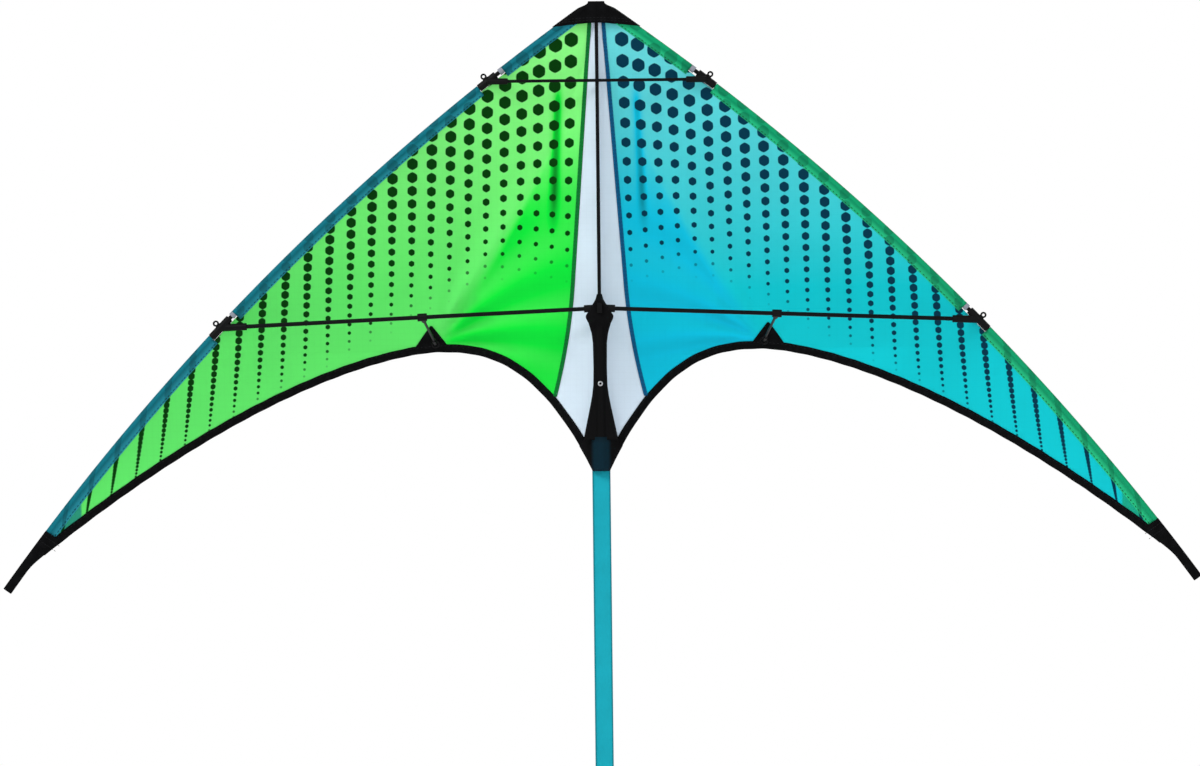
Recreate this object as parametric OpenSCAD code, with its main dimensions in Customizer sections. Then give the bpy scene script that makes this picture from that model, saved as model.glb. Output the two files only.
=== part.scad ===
// Compact dual-line delta kite. The frame side faces -Y, the sail bellies towards +Y.
// The origin is at the top of the nose, where the kite is held; the wings run along X.

/* [Wing outline] */
// Span from wing tip to wing tip
wing_span = 1000; // [900:10:1200]
// Drop from the nose to the wing tips
tip_drop = 485; // [460:5:520]
// Drop from the nose to the point of the tail patch
keel_drop = 392; // [380:2:400]
// How far the leading edge bows outside its chord
leading_bow = 29; // [24:1:36]
// Half width of the flat top of the nose
nose_half = 6; // [5:0.5:8]
// Drop of the trailing edge at the stand-offs
scallop_drop = 291; // [286:1:296]
// Half spacing of the stand-off patches
scallop_x = 137; // [130:1:145]

/* [Sail] */
// Depth of the sail at the stand-off patches
sail_depth = 86; // [70:2:95]
// Thickness of a layer of cloth as a solid
cloth_t = 0.8; // [0.6:0.1:1.2]
// Width of the leading-edge sleeve
sleeve_w = 9.4; // [8:0.2:11]
// Width of the trailing-edge binding tape
binding_w = 6.8; // [5:0.2:8]
// Half width of the white centre panel at its top
panel_top = 5.9; // [5:0.1:7]

/* [Rods and fittings] */
// Diameter of the leading-edge and lower spreader rods
rod_d = 3.5; // [3:0.1:4]
// Diameter of the spine
spine_d = 3; // [2.6:0.1:3.4]
// Diameter of the upper spreader
upper_rod_d = 2.6; // [2:0.1:3]
// Diameter of the stand-off rods
standoff_d = 2.2; // [1.8:0.1:2.6]
// Drop of the upper spreader
upper_drop = 66; // [56:1:70]
// Drop of the lower spreader at the centre
lower_drop = 256; // [250:1:262]
// Drop of the lower spreader at the leading edges
lower_end_drop = 269; // [264:1:274]
// Half spacing of the stand-off clips
clip_x = 148; // [142:1:156]
// Radius of the bridle eyes in the fittings
eye_r = 1.2; // [1:0.1:1.5]

/* [Tail] */
// Width of the tail ribbon
tail_w = 15; // [12:0.5:20]
// Distance from the tail patch down to the middle of the rolled-up tail
tail_hang = 290; // [280:5:400]
// Radius of the rolled-up tail
roll_r = 27; // [24:1:32]

/* [Hidden] */

$fn = 32;
arc_fn = 1440;            // fineness of the long leading-edge arcs
fit_gap = 0.1;            // radial room of a rod in its fitting
spreader_setback = 6;     // from a spreader's end to the axis of the spar
rod_r = rod_d / 2;
spine_r = spine_d / 2;
spar_inset = 2.5;         // rod centre inside the sleeve's outer edge
panel_gap = 0.3;          // room between neighbouring pieces of cloth
rod_start_drop = 5;       // top ends of the rods inside the nose patch
patch_top_drop = 20;      // lower edge of the nose patch
tip_sleeve_drop = 437;    // where the webbing of the wing tip starts on the spar
tail_patch_drop = 364;    // top of the tail patch
sail_front = 3.8;         // the sail passes just behind the spine and the centre T
tail_y = 7.4;             // plane of the tail ribbon's fixed end
roll_w = tail_w + 0.4;
core_r = 7.4;             // hole in the middle of the rolled-up tail
bend_room = 0.4;          // gap where the ribbon bends at its fixed end

// Leading edge: one circular arc in the XZ plane from the nose to the tip
tip_x = wing_span / 2;
chord_x = tip_x - nose_half;
chord = sqrt(chord_x * chord_x + tip_drop * tip_drop);
arc_r = chord * chord / (8 * leading_bow) + leading_bow / 2;
arc_cx = (tip_x + nose_half) / 2 - (arc_r - leading_bow) * tip_drop / chord;
arc_cd = tip_drop / 2 + (arc_r - leading_bow) * chord_x / chord;
function lead_x(drop, inset = 0) = arc_cx + sqrt(pow(arc_r - inset, 2) - pow(arc_cd - drop, 2));
function lead_drop(x, inset = 0) = arc_cd - sqrt(pow(arc_r - inset, 2) - pow(x - arc_cx, 2));
function lead_angle(drop, inset = 0) = asin((arc_cd - drop) / (arc_r - inset));

// Trailing edge: a hollow curve on each side of the stand-off patch
inner_rise = keel_drop + 3 - scallop_drop;
inner_run = scallop_x - 5;
outer_rise = tip_drop - scallop_drop;
outer_run = tip_x - scallop_x;
function trail_drop(x) = x < scallop_x
    ? scallop_drop + inner_rise * pow((scallop_x - x) / inner_run, 2.6)
    : scallop_drop + outer_rise * pow((x - scallop_x) / outer_run, 1.56);
function trail_slope(x) = (trail_drop(x + 0.5) - trail_drop(x - 0.5));
function trail_point(x, inset) = let (s = trail_slope(x), n = sqrt(1 + s * s))
    [x + inset * s / n, trail_drop(x) - inset / n];

// Depth of the sail behind the frame: a ridge runs from the nose to the stand-off patch
function ridge_share(drop) = 0.42 * pow(min(max(drop, 1), scallop_drop) / scallop_drop, 0.65);
function ridge_depth(drop) = sail_depth * pow(min(max(drop, 0), scallop_drop) / scallop_drop, 1.4);
function inner_billow(p) = 0.55 * p + 0.45 * sin(90 * p);
function outer_billow(p) = 0.35 * (1 - p) + 0.65 * cos(90 * p);
function keel_fade(x, drop) = let (t = min(max((drop - 325) / 65, 0), 1))
    abs(x) < scallop_x ? 1 - 0.75 * t * t * (3 - 2 * t) : 1;
function sail_y(x, drop) = let (
        edge = lead_x(drop), q = min(abs(x) / edge, 1), r = ridge_share(drop))
    sail_front * (1 - q) + ridge_depth(drop) * keel_fade(x, drop)
        * (q < r ? inner_billow(q / r) : outer_billow((q - r) / (1 - r)));

// Half width of the centre panel
function panel_half(drop) = panel_top + 0.0736 * (drop - 19) + 0.00103 * pow(max(0, drop - 235), 2);
panel_end_drop = 328.6;   // where the panel's seam meets the trailing-edge binding

// Lower spreader: from the centre T to the lower connectors
t_y = -4.6;
lower_end_x = lead_x(lower_end_drop, spar_inset);
lower_dir = [lower_end_x, -t_y, lower_drop - lower_end_drop];
lower_len = norm(lower_dir);
lower_unit = lower_dir / lower_len;
function lower_point(x) = [0, t_y, -lower_drop] + lower_unit * (x / lower_unit[0]);
clip_point = lower_point(clip_x);
foot_drop = 283;
foot_x = 139;
foot_room = 8.0;          // from the rod's end back to the sail
foot_point = [foot_x, sail_y(foot_x, foot_drop) - foot_room, -foot_drop];
foot_unit = (foot_point - clip_point) / norm(foot_point - clip_point);

// Tail: the free ribbon is tangent to the roll, which hangs below the hinge
tail_lean = asin(roll_r / tail_hang);
tail_free = sqrt(tail_hang * tail_hang - roll_r * roll_r);

// A rod or a bore from one point to another
module rod(a, b, r) {
    v = b - a;
    translate(a) rotate([0, acos(v[2] / norm(v)), atan2(v[1], v[0])]) cylinder(h = norm(v), r = r);
}

// Turns the +X axis into the plane of the leading edge, with the arc's centre at the origin
module on_arc() {
    translate([arc_cx, 0, -arc_cd]) rotate([90, 0, 0]) children();
}

// A profile swept along the leading edge between two drops; X of the profile is the arc radius
module sweep_lead(drop_a, drop_b, inset = 0) {
    start = lead_angle(drop_b, inset);
    on_arc() rotate([0, 0, start])
        rotate_extrude(angle = lead_angle(drop_a, inset) - start, $fn = arc_fn) children();
}

module spar_arc(drop_a, drop_b, r) {
    sweep_lead(drop_a, drop_b, spar_inset) translate([arc_r - spar_inset, 0]) circle(r = r);
}

// Cloth over a grid of [x, drop, y] points: rows of equal length make one closed sheet
module cloth(rows, t = cloth_t) {
    nr = len(rows);
    nc = len(rows[0]);
    front = [for (row = rows) for (p = row) [p[0], p[2] - t / 2, -p[1]]];
    back = [for (row = rows) for (p = row) [p[0], p[2] + t / 2, -p[1]]];
    total = nr * nc;
    tops = [for (i = [0:nr - 2]) for (j = [0:nc - 2]) let (a = i * nc + j)
        each [[a, a + 1, a + nc + 1], [a, a + nc + 1, a + nc]]];
    unders = [for (f = tops) [f[2] + total, f[1] + total, f[0] + total]];
    rim = concat([for (j = [0:nc - 1]) j],
        [for (i = [1:nr - 1]) i * nc + nc - 1],
        [for (j = [nc - 2:-1:0]) (nr - 1) * nc + j],
        [for (i = [nr - 2:-1:1]) i * nc]);
    walls = [for (k = [0:len(rim) - 1]) let (a = rim[k], b = rim[(k + 1) % len(rim)])
        each [[a, a + total, b + total], [a, b + total, b]]];
    polyhedron(points = concat(front, back), faces = concat(tops, unders, walls));
}
function lift(p, dy) = [p[0], p[1], sail_y(p[0], p[1]) + dy];
function blend(a, b, t) = a + (b - a) * t;

module left() { mirror([1, 0, 0]) children(); }

// Rods
module spine() {
    color("#18181a") rod([0, 0, -rod_start_drop], [0, 0, -(keel_drop - 8)], spine_r);
}
module spine_end_cap() {
    color("#202022") translate([0, 0, -(keel_drop - 6)]) difference() {
        cylinder(h = 9, r = spine_r + 0.6);
        translate([0, 0, 2]) cylinder(h = 8, r = spine_r + fit_gap / 2);
    }
}
module leading_edge_spar() {
    color("#18181a") spar_arc(rod_start_drop, tip_drop - 8, rod_r);
}
module spar_end_cap() {
    color("#202022") difference() {
        spar_arc(tip_drop - 14, tip_drop - 6, rod_r + 0.7);
        spar_arc(tip_drop - 15, tip_drop - 7.9, rod_r + fit_gap / 2);
    }
}
upper_y = -(spine_r + upper_rod_d / 2 + 0.6);
upper_end_x = lead_x(upper_drop, spar_inset) - spreader_setback;
module upper_spreader() {
    color("#18181a")
        rod([-upper_end_x, upper_y, -upper_drop], [upper_end_x, upper_y, -upper_drop], upper_rod_d / 2);
}
module lower_spreader() {
    color("#18181a") rod(lower_point(1.2), lower_point(lower_end_x - spreader_setback), rod_r);
}

// A rubber fitting on the leading edge: a sleeve on the spar, an arm and a bridle eye
module connector(drop, arm_from, arm_to, arm_rod_r, sleeve_half, eye_out) {
    hub = [lead_x(drop, spar_inset), 0, -drop];
    angle = lead_angle(drop, spar_inset);
    eye = [hub[0] + eye_out * cos(angle), 0, hub[2] + eye_out * sin(angle)];
    outer = rod_r + 1.5;
    color("#161618") difference() {
        union() {
            translate(hub) rotate([0, -angle, 0]) translate([0, 0, -sleeve_half])
                cylinder(h = 2 * sleeve_half, r = outer);
            rod(arm_from, arm_to, arm_rod_r + 1.3);
            translate(eye + [0, -2.5, 0]) rotate([-90, 0, 0]) cylinder(h = 5, r = eye_r + 1.4);
        }
        translate(hub) rotate([0, -angle, 0]) translate([0, 0, -1.5 * sleeve_half])
            cylinder(h = 3 * sleeve_half, r = rod_r + fit_gap);
        rod(arm_from + (arm_to - arm_from) * bore_start(arm_from, arm_to),
            arm_to + (arm_to - arm_from) * 0.2, arm_rod_r + fit_gap / 2);
        translate(eye + [0, -3.5, 0]) rotate([-90, 0, 0]) cylinder(h = 7, r = eye_r);
    }
}
function bore_start(a, b) = (spreader_setback - 0.5) / norm(b - a);
module upper_connector() {
    x = lead_x(upper_drop, spar_inset);
    connector(upper_drop, [x, upper_y, -upper_drop], [x - 17, upper_y, -upper_drop],
        upper_rod_d / 2, 9, rod_r + 3.6);
}
module lower_connector() {
    connector(lower_end_drop, lower_point(lower_end_x), lower_point(lower_end_x - 22),
        rod_r, 11, rod_r + 3.6);
}
// One ring on the spar above each of the four connectors
module stopper_rings() {
    color("#b9bcc4") for (side = [0, 1], drop = [upper_drop - 7.6, lower_end_drop - 9.6])
        mirror([side, 0, 0]) difference() {
            spar_arc(drop - 2.4, drop, rod_r + 1.1);
            spar_arc(drop - 4, drop + 2, rod_r + fit_gap / 2);
        }
}
// The T is held on the spine, and takes a half of the lower spreader in each arm
module centre_t() {
    color("#131315") difference() {
        union() {
            translate([0, 0, -(lower_drop + 12)]) cylinder(h = 20, r = spine_r + 1.7);
            translate([0, 0, -(lower_drop - 8)])
                cylinder(h = 4, r1 = spine_r + 1.7, r2 = spine_r + 0.6, $fn = 48);
            for (side = [0, 1]) mirror([side, 0, 0]) rod(lower_point(0), lower_point(13), rod_r + 1.4);
            translate([0, t_y - 4.4, -lower_drop]) rotate([90, 0, 0]) translate([0, 0, -2])
                translate([-2, -4, 0]) cube([4, 8, 6.5]);
        }
        translate([0, 0, -(lower_drop + 14)]) cylinder(h = 30, r = spine_r + fit_gap / 2);
        for (side = [0, 1]) mirror([side, 0, 0]) rod(lower_point(1), lower_point(15), rod_r + fit_gap / 2);
        translate([-5, t_y - 6.3, -lower_drop]) rotate([0, 90, 0]) cylinder(h = 10, r = eye_r);
    }
}

// Cloth and webbing
module nose_patch() {
    low = patch_top_drop;
    color("#141416") difference() {
        translate([0, 3.2, 0]) rotate([90, 0, 0]) linear_extrude(6.4) polygon([
            [-nose_half - 2, 0], [nose_half + 2, 0],
            [lead_x(low - 3) + 2.5, -low + 3], [lead_x(low - 3) - 1, -low - 3],
            [12, -low + 2], [-12, -low + 2],
            [-lead_x(low - 3) + 1, -low - 3], [-lead_x(low - 3) - 2.5, -low + 3]]);
        translate([0, 0, -low - 5]) cylinder(h = low + 5 - rod_start_drop + 1, r = spine_r + fit_gap);
        for (side = [0, 1]) mirror([side, 0, 0])
            spar_arc(rod_start_drop - 1, low + 12, rod_r + 2 * fit_gap);
    }
}

// Inner boundary of a wing panel: down the centre seam, then out along the trailing edge
wing_cols = 40;
seam_cols = 15;
seam_end_x = panel_half(panel_end_drop) + 5.6;
wing_end_x = lead_x(tip_sleeve_drop + 5) - 12;
function wing_inner(i) = i <= seam_cols
    ? let (d = blend(patch_top_drop + 3, panel_end_drop, i / seam_cols)) [panel_half(d) + panel_gap, d]
    : trail_point(blend(seam_end_x, wing_end_x, (i - seam_cols) / (wing_cols - seam_cols)),
        binding_w + panel_gap);
function wing_outer(i) = let (
        x = blend(lead_x(patch_top_drop + 4) - 3, wing_end_x + 3, pow(i / wing_cols, 1.15)))
    [x, lead_drop(x, sleeve_w + panel_gap)];
module wing_panel() {
    steps = 16;
    cloth([for (i = [0:wing_cols]) let (a = wing_inner(i), b = wing_outer(i))
        [for (j = [0:steps]) lift(blend(a, b, j / steps), 0)]]);
}
module sail_left() { color("#5ee85e") left() wing_panel(); }
module sail_right() { color("#24bfd8") wing_panel(); }

module centre_panel() {
    rows = 40;
    half_cols = 4;
    color("#ccd0e0") cloth([for (i = [0:rows])
        let (d = blend(patch_top_drop + 3, keel_drop - 12, i / rows),
            edge = min(panel_half(d), panel_inside(d)))
        [for (j = [-half_cols:half_cols]) let (x = -edge * j / half_cols) lift([x, d], 0)]]);
}
// Where a level line meets the inside of the trailing-edge binding
function trail_x(drop) = scallop_x - inner_run * pow(max(drop - scallop_drop, 0) / inner_rise, 1 / 2.6);
function panel_inside(drop) = drop < panel_end_drop - 8 ? 1000
    : trail_x(drop) - (binding_w + panel_gap)
        * sqrt(1 + pow(1 / trail_slope(trail_x(drop)), 2)) - 0.2;

module sleeve_run(drop_a, drop_b) {
    tube = spar_inset;
    sweep_lead(drop_a, drop_b) translate([arc_r - spar_inset, 0]) difference() {
        union() {
            circle(r = tube);
            polygon([[-tube * 0.55, tube * 0.8], [-sleeve_w + spar_inset, 0.45],
                [-sleeve_w + spar_inset, -0.45], [-tube * 0.55, -tube * 0.8]]);
        }
        circle(r = rod_r + 2 * fit_gap);
    }
}
module leading_edge_sleeve() {
    sleeve_run(patch_top_drop + 3.5, upper_drop - 13);
    sleeve_run(upper_drop + 10, lower_end_drop - 14);
    sleeve_run(lower_end_drop + 12, tip_sleeve_drop - 1);
}
module leading_edge_sleeve_left() { color("#14646e") left() leading_edge_sleeve(); }
module leading_edge_sleeve_right() { color("#17a866") leading_edge_sleeve(); }

binding_start_x = 8;
binding_end_x = wing_end_x + 5;
module binding() {
    steps = 70;
    color("#121214") cloth([for (i = [0:steps])
        let (x = blend(binding_start_x, binding_end_x, pow(i / steps, 1.35)))
        [for (j = [0, 1]) lift(trail_point(x, binding_w * j), 0)]], 1);
}

// Webbing over the end of the spar, tapering to a square end
module tip_sleeve() {
    top = tip_sleeve_drop;
    a = [lead_x(top), top];
    b = [lead_x(tip_drop, 0), tip_drop];
    along = (b - a) / norm(b - a);
    across = [-along[1], along[0]];
    color("#121214") difference() {
        translate([0, 3, 0]) rotate([90, 0, 0]) linear_extrude(6) polygon([for (p = [
            a, a + (b - a) / 2 + across * -0.5, b, b + across * 7.5, b - along * 14 + across * 7.5,
            a + along * 14 + across * 12.5, a + across * 16.5]) [p[0], -p[1]]]);
        spar_arc(top - 6, tip_drop - 5.5, rod_r + 0.8);
    }
}

module standoff_patch() {
    rows = 4;
    patch_lift = 4.2;
    apex = [scallop_x + 3, scallop_drop - binding_w - 15];
    base_half = 16;
    color("#141416") cloth([for (i = [0:rows]) let (t = blend(0.04, 1, i / rows))
        [for (j = [4:-1:-4]) let (x = blend(apex[0], scallop_x, t) - base_half * t * j / 4,
            d = blend(apex[1], trail_drop(x) - binding_w - 0.4, t)) lift([x, d], -patch_lift)]]);
}

// The cover over the lower spine, with a raised channel for the rod
function fairing_half(d) = d < 293 ? blend(10.5, 5.9, 1 - pow((293 - d) / 24, 1.6))
    : d < 322 ? 5.9 : 5.9 + 8.3 * pow((d - 322) / 38, 1.2);
function fairing_y(x, d) = min(sail_y(x, d) - cloth_t - 0.3,
    -(spine_r + 1.2) + 0.9 * max(0, abs(x) - 2.4));
module centre_fairing() {
    rows = 20;
    top_drop = 269;
    color("#131315") cloth([for (i = [0:rows])
        let (d = blend(top_drop, tail_patch_drop - 0.5, i / rows))
        [for (j = [5:-1:-5]) let (x = fairing_half(d) * j / 5) [x, d, fairing_y(x, d)]]]);
}
module fairing_eyelet() {
    eyelet_drop = 319;
    color("#a4a7ad") translate([0, -(spine_r + 1.8), -eyelet_drop]) rotate([90, 0, 0]) difference() {
        cylinder(h = 0.8, r = 2.2);
        translate([0, 0, -0.5]) cylinder(h = 2, r = 1);
    }
}
// The pocket over the foot of the spine, as wide as the wings' joined trailing edges
function tail_half(d) = d < 371 ? blend(13.2, 17.4, (d - tail_patch_drop) / 7)
    : max(trail_x(d) + 0.4, 5.4);
module tail_patch() {
    rows = 14;
    color("#101114") cloth([for (i = [0:rows]) let (d = blend(tail_patch_drop, keel_drop, i / rows))
        [for (j = [5:-1:-5]) let (x = tail_half(d) * j / 5) [x, d, fairing_y(x, d)]]]);
}

// Stand-off: rides on its clip, which turns on the lower spreader
module standoff() {
    color("#18181a") rod(clip_point + foot_unit * (rod_r + 1.6), foot_point, standoff_d / 2);
}
module standoff_clip() {
    arm_end = clip_point + foot_unit * (rod_r + 9);
    color("#161618") difference() {
        union() {
            rod(lower_point(clip_x - 4), lower_point(clip_x + 4), rod_r + 1.5);
            rod(clip_point, arm_end, standoff_d / 2 + 1.1);
        }
        rod(lower_point(clip_x - 6), lower_point(clip_x + 6), rod_r + 0.06);
        rod(clip_point + foot_unit * (rod_r + 1.5), arm_end + foot_unit, standoff_d / 2 + fit_gap / 2);
    }
}
module standoff_foot() {
    end = foot_point + foot_unit * 1.2;
    color("#202022") difference() {
        union() {
            rod(foot_point - foot_unit * 8, end, standoff_d / 2 + 0.8);
            translate(end - foot_unit * 0.3) sphere(r = standoff_d / 2 + 0.8);
        }
        rod(foot_point - foot_unit * 9, foot_point + foot_unit * 0.05, standoff_d / 2 + fit_gap / 2);
    }
}

// Tail: fixed end behind the patch, free ribbon, and the rest of it rolled up and tied
module tail_anchor() {
    color("#1f93a8") translate([-tail_w / 2, tail_y - cloth_t / 2, -keel_drop + bend_room])
        cube([tail_w, cloth_t, keel_drop - tail_patch_drop - 2]);
}
module tail_frame() {
    translate([0, tail_y, -keel_drop]) rotate([-tail_lean, 0, 0]) children();
}
module tail_streamer() {
    color("#23a5be") tail_frame()
        translate([-tail_w / 2, -cloth_t / 2, -tail_free + bend_room])
            cube([tail_w, cloth_t, tail_free - 2.5 * bend_room]);
}
module tail_roll() {
    color("#23a5be") translate([-roll_w / 2, tail_y, -keel_drop - tail_hang]) rotate([0, 90, 0])
        difference() {
            cylinder(h = roll_w, r = roll_r - 0.5, $fn = 96);
            translate([0, 0, -1]) cylinder(h = roll_w + 2, r = core_r, $fn = 48);
        }
}
// A band through the middle of the roll and round the turns below it
module tail_tie() {
    tie_w = 5;
    inside = [roll_w + 0.6, roll_r - core_r + 1];
    outside = [inside[0] + 2, inside[1] + 2];
    color("#18181a") translate([0, tail_y + tie_w / 2, -keel_drop - tail_hang - (roll_r + core_r) / 2])
        rotate([90, 0, 0]) linear_extrude(tie_w) difference() {
            square(outside, center = true);
            square(inside, center = true);
        }
}

spine();
spine_end_cap();
left() leading_edge_spar();  // leading_edge_spar_left
leading_edge_spar();  // leading_edge_spar_right
left() spar_end_cap();  // spar_end_cap_left
spar_end_cap();  // spar_end_cap_right
upper_spreader();
left() lower_spreader();  // lower_spreader_left
lower_spreader();  // lower_spreader_right
left() upper_connector();  // upper_connector_left
upper_connector();  // upper_connector_right
left() lower_connector();  // lower_connector_left
lower_connector();  // lower_connector_right
stopper_rings();
centre_t();
nose_patch();
sail_left();
sail_right();
centre_panel();
leading_edge_sleeve_left();
leading_edge_sleeve_right();
left() binding();  // trailing_edge_binding_left
binding();  // trailing_edge_binding_right
left() tip_sleeve();  // tip_sleeve_left
tip_sleeve();  // tip_sleeve_right
left() standoff_patch();  // standoff_patch_left
standoff_patch();  // standoff_patch_right
centre_fairing();
fairing_eyelet();
tail_patch();
tail_anchor();
left() standoff();  // standoff_left
standoff();  // standoff_right
left() standoff_clip();  // standoff_clip_left
standoff_clip();  // standoff_clip_right
left() standoff_foot();  // standoff_foot_left
standoff_foot();  // standoff_foot_right
tail_streamer();
tail_roll();
tail_tie();
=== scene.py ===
import math

import bmesh
import bpy
from mathutils import Matrix, Vector, noise


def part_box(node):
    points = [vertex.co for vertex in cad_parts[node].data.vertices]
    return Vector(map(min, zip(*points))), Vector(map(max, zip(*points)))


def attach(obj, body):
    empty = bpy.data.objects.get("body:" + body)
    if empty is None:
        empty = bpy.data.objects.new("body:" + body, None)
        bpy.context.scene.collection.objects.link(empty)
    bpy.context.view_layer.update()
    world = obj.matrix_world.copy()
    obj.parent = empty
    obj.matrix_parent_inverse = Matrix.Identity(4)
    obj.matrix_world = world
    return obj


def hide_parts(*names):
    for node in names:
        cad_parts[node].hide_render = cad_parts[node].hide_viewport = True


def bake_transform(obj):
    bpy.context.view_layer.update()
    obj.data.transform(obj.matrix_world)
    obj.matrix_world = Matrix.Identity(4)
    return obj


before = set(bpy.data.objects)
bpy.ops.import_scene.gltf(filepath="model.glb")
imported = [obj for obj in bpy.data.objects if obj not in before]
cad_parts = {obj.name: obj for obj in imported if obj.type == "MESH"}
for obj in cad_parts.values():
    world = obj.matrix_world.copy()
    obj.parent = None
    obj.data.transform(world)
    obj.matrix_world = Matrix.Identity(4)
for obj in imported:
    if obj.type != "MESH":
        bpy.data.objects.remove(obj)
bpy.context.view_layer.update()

bl_info = {
    "name": "Delta kite",
    "version": (1, 0, 0),
    "blender": (4, 5, 0),
    "location": "3D View > Sidebar > Kite",
    "description": "Builds the cloth, webbing, fittings and tail of a compact delta kite",
    "category": "Add Mesh",
}

MM = 0.001
SIDES = (("left", -1), ("right", 1))
WELD = 0.00001      # points nearer than this become one


def linear(colour):
    """An sRGB hex value as linear red, green and blue."""
    parts = [int(colour[i:i + 2], 16) / 255 for i in (1, 3, 5)]
    return tuple(p / 12.92 if p <= 0.04045 else ((p + 0.055) / 1.055) ** 2.4 for p in parts)


def length(name, description, value):
    return bpy.props.FloatProperty(
        name=name, description=description, default=value, unit="LENGTH", subtype="DISTANCE",
        precision=4)


def colour(name, description, value):
    return bpy.props.FloatVectorProperty(
        name=name, description=description, default=linear(value), size=3, min=0, max=1,
        subtype="COLOR")


class KiteShape(bpy.types.PropertyGroup):
    half_span: length("Half span", "From the spine to a wing tip", 0.5)
    tip_drop: length("Tip drop", "From the nose down to the wing tips", 0.485)
    keel_drop: length("Keel drop", "From the nose down to the tail patch's point", 0.392)
    leading_bow: length("Leading bow", "Bow of a leading edge outside its chord", 0.029)
    nose_half: length("Nose half width", "Half of the flat top of the nose", 0.006)
    scallop_drop: length("Scallop drop", "Drop of the trailing edge at the stand-offs", 0.291)
    scallop_x: length("Scallop place", "Distance of the stand-off patches from the spine", 0.137)
    sail_depth: length("Sail depth", "Depth of the sail at the stand-off patches", 0.086)
    sleeve_width: length("Sleeve width", "Width of the leading-edge sleeve", 0.0094)
    binding_width: length("Binding width", "Width of the trailing-edge binding", 0.0068)
    rod_radius: length("Rod radius", "Radius of the leading-edge rods", 0.00175)
    tail_width: length("Tail width", "Width of the tail ribbon", 0.015)
    tail_hang: length("Tail hang", "From the tail patch to the middle of the roll", 0.29)
    roll_radius: length("Roll radius", "Outer radius of the rolled-up tail", 0.027)


class KiteColours(bpy.types.PropertyGroup):
    green: colour("Green sail", "Light green of the left wing", "#74F07E")
    # painted shade: the green that stands for the sail between the spine and the ridge turned away from the
    # light
    green_painted_shade: colour("Deep green", "Green between the spine and the ridge", "#10E646")
    green_print: colour("Green print", "Dots on the green wing", "#004406")
    blue: colour("Blue sail", "Cyan of the right wing", "#12D4DC")
    # painted shade: the cyan that stands for the sail between the spine and the ridge turned away from the
    # light
    blue_painted_shade: colour("Deep blue", "Cyan between the spine and the ridge", "#0FCFE8")
    blue_print: colour("Blue print", "Dots on the blue wing", "#003F58")
    white: colour("Centre panel", "White of the centre panel", "#DDE8F2")
    teal: colour("Teal sleeve", "Leading-edge sleeve of the green wing", "#0E7282")
    sea: colour("Green sleeve", "Leading-edge sleeve of the blue wing", "#0FA06C")
    seam_green: colour("Green seam", "Seam band beside the green wing", "#0A6B2C")
    seam_blue: colour("Blue seam", "Seam band beside the blue wing", "#0B4F78")
    black: colour("Black cloth", "Webbing, binding and covers", "#030304")
    ribbon: colour("Tail ribbon", "Cyan of the tail", "#1AAABB")


class StudioSetup(bpy.types.PropertyGroup):
    view_width: length("View width", "Width that the camera takes in at the kite", 1.0015)
    lens: bpy.props.FloatProperty(name="Lens", description="Focal length", default=250,
                                  subtype="DISTANCE_CAMERA")
    roll: bpy.props.FloatProperty(name="Roll", description="Turn of the kite in the view",
                                  default=math.radians(0.65), subtype="ANGLE")


def smooth(value):
    value = min(max(value, 0), 1)
    return value * value * (3 - 2 * value)


def mix(a, b, t):
    return a + (b - a) * t


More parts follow.
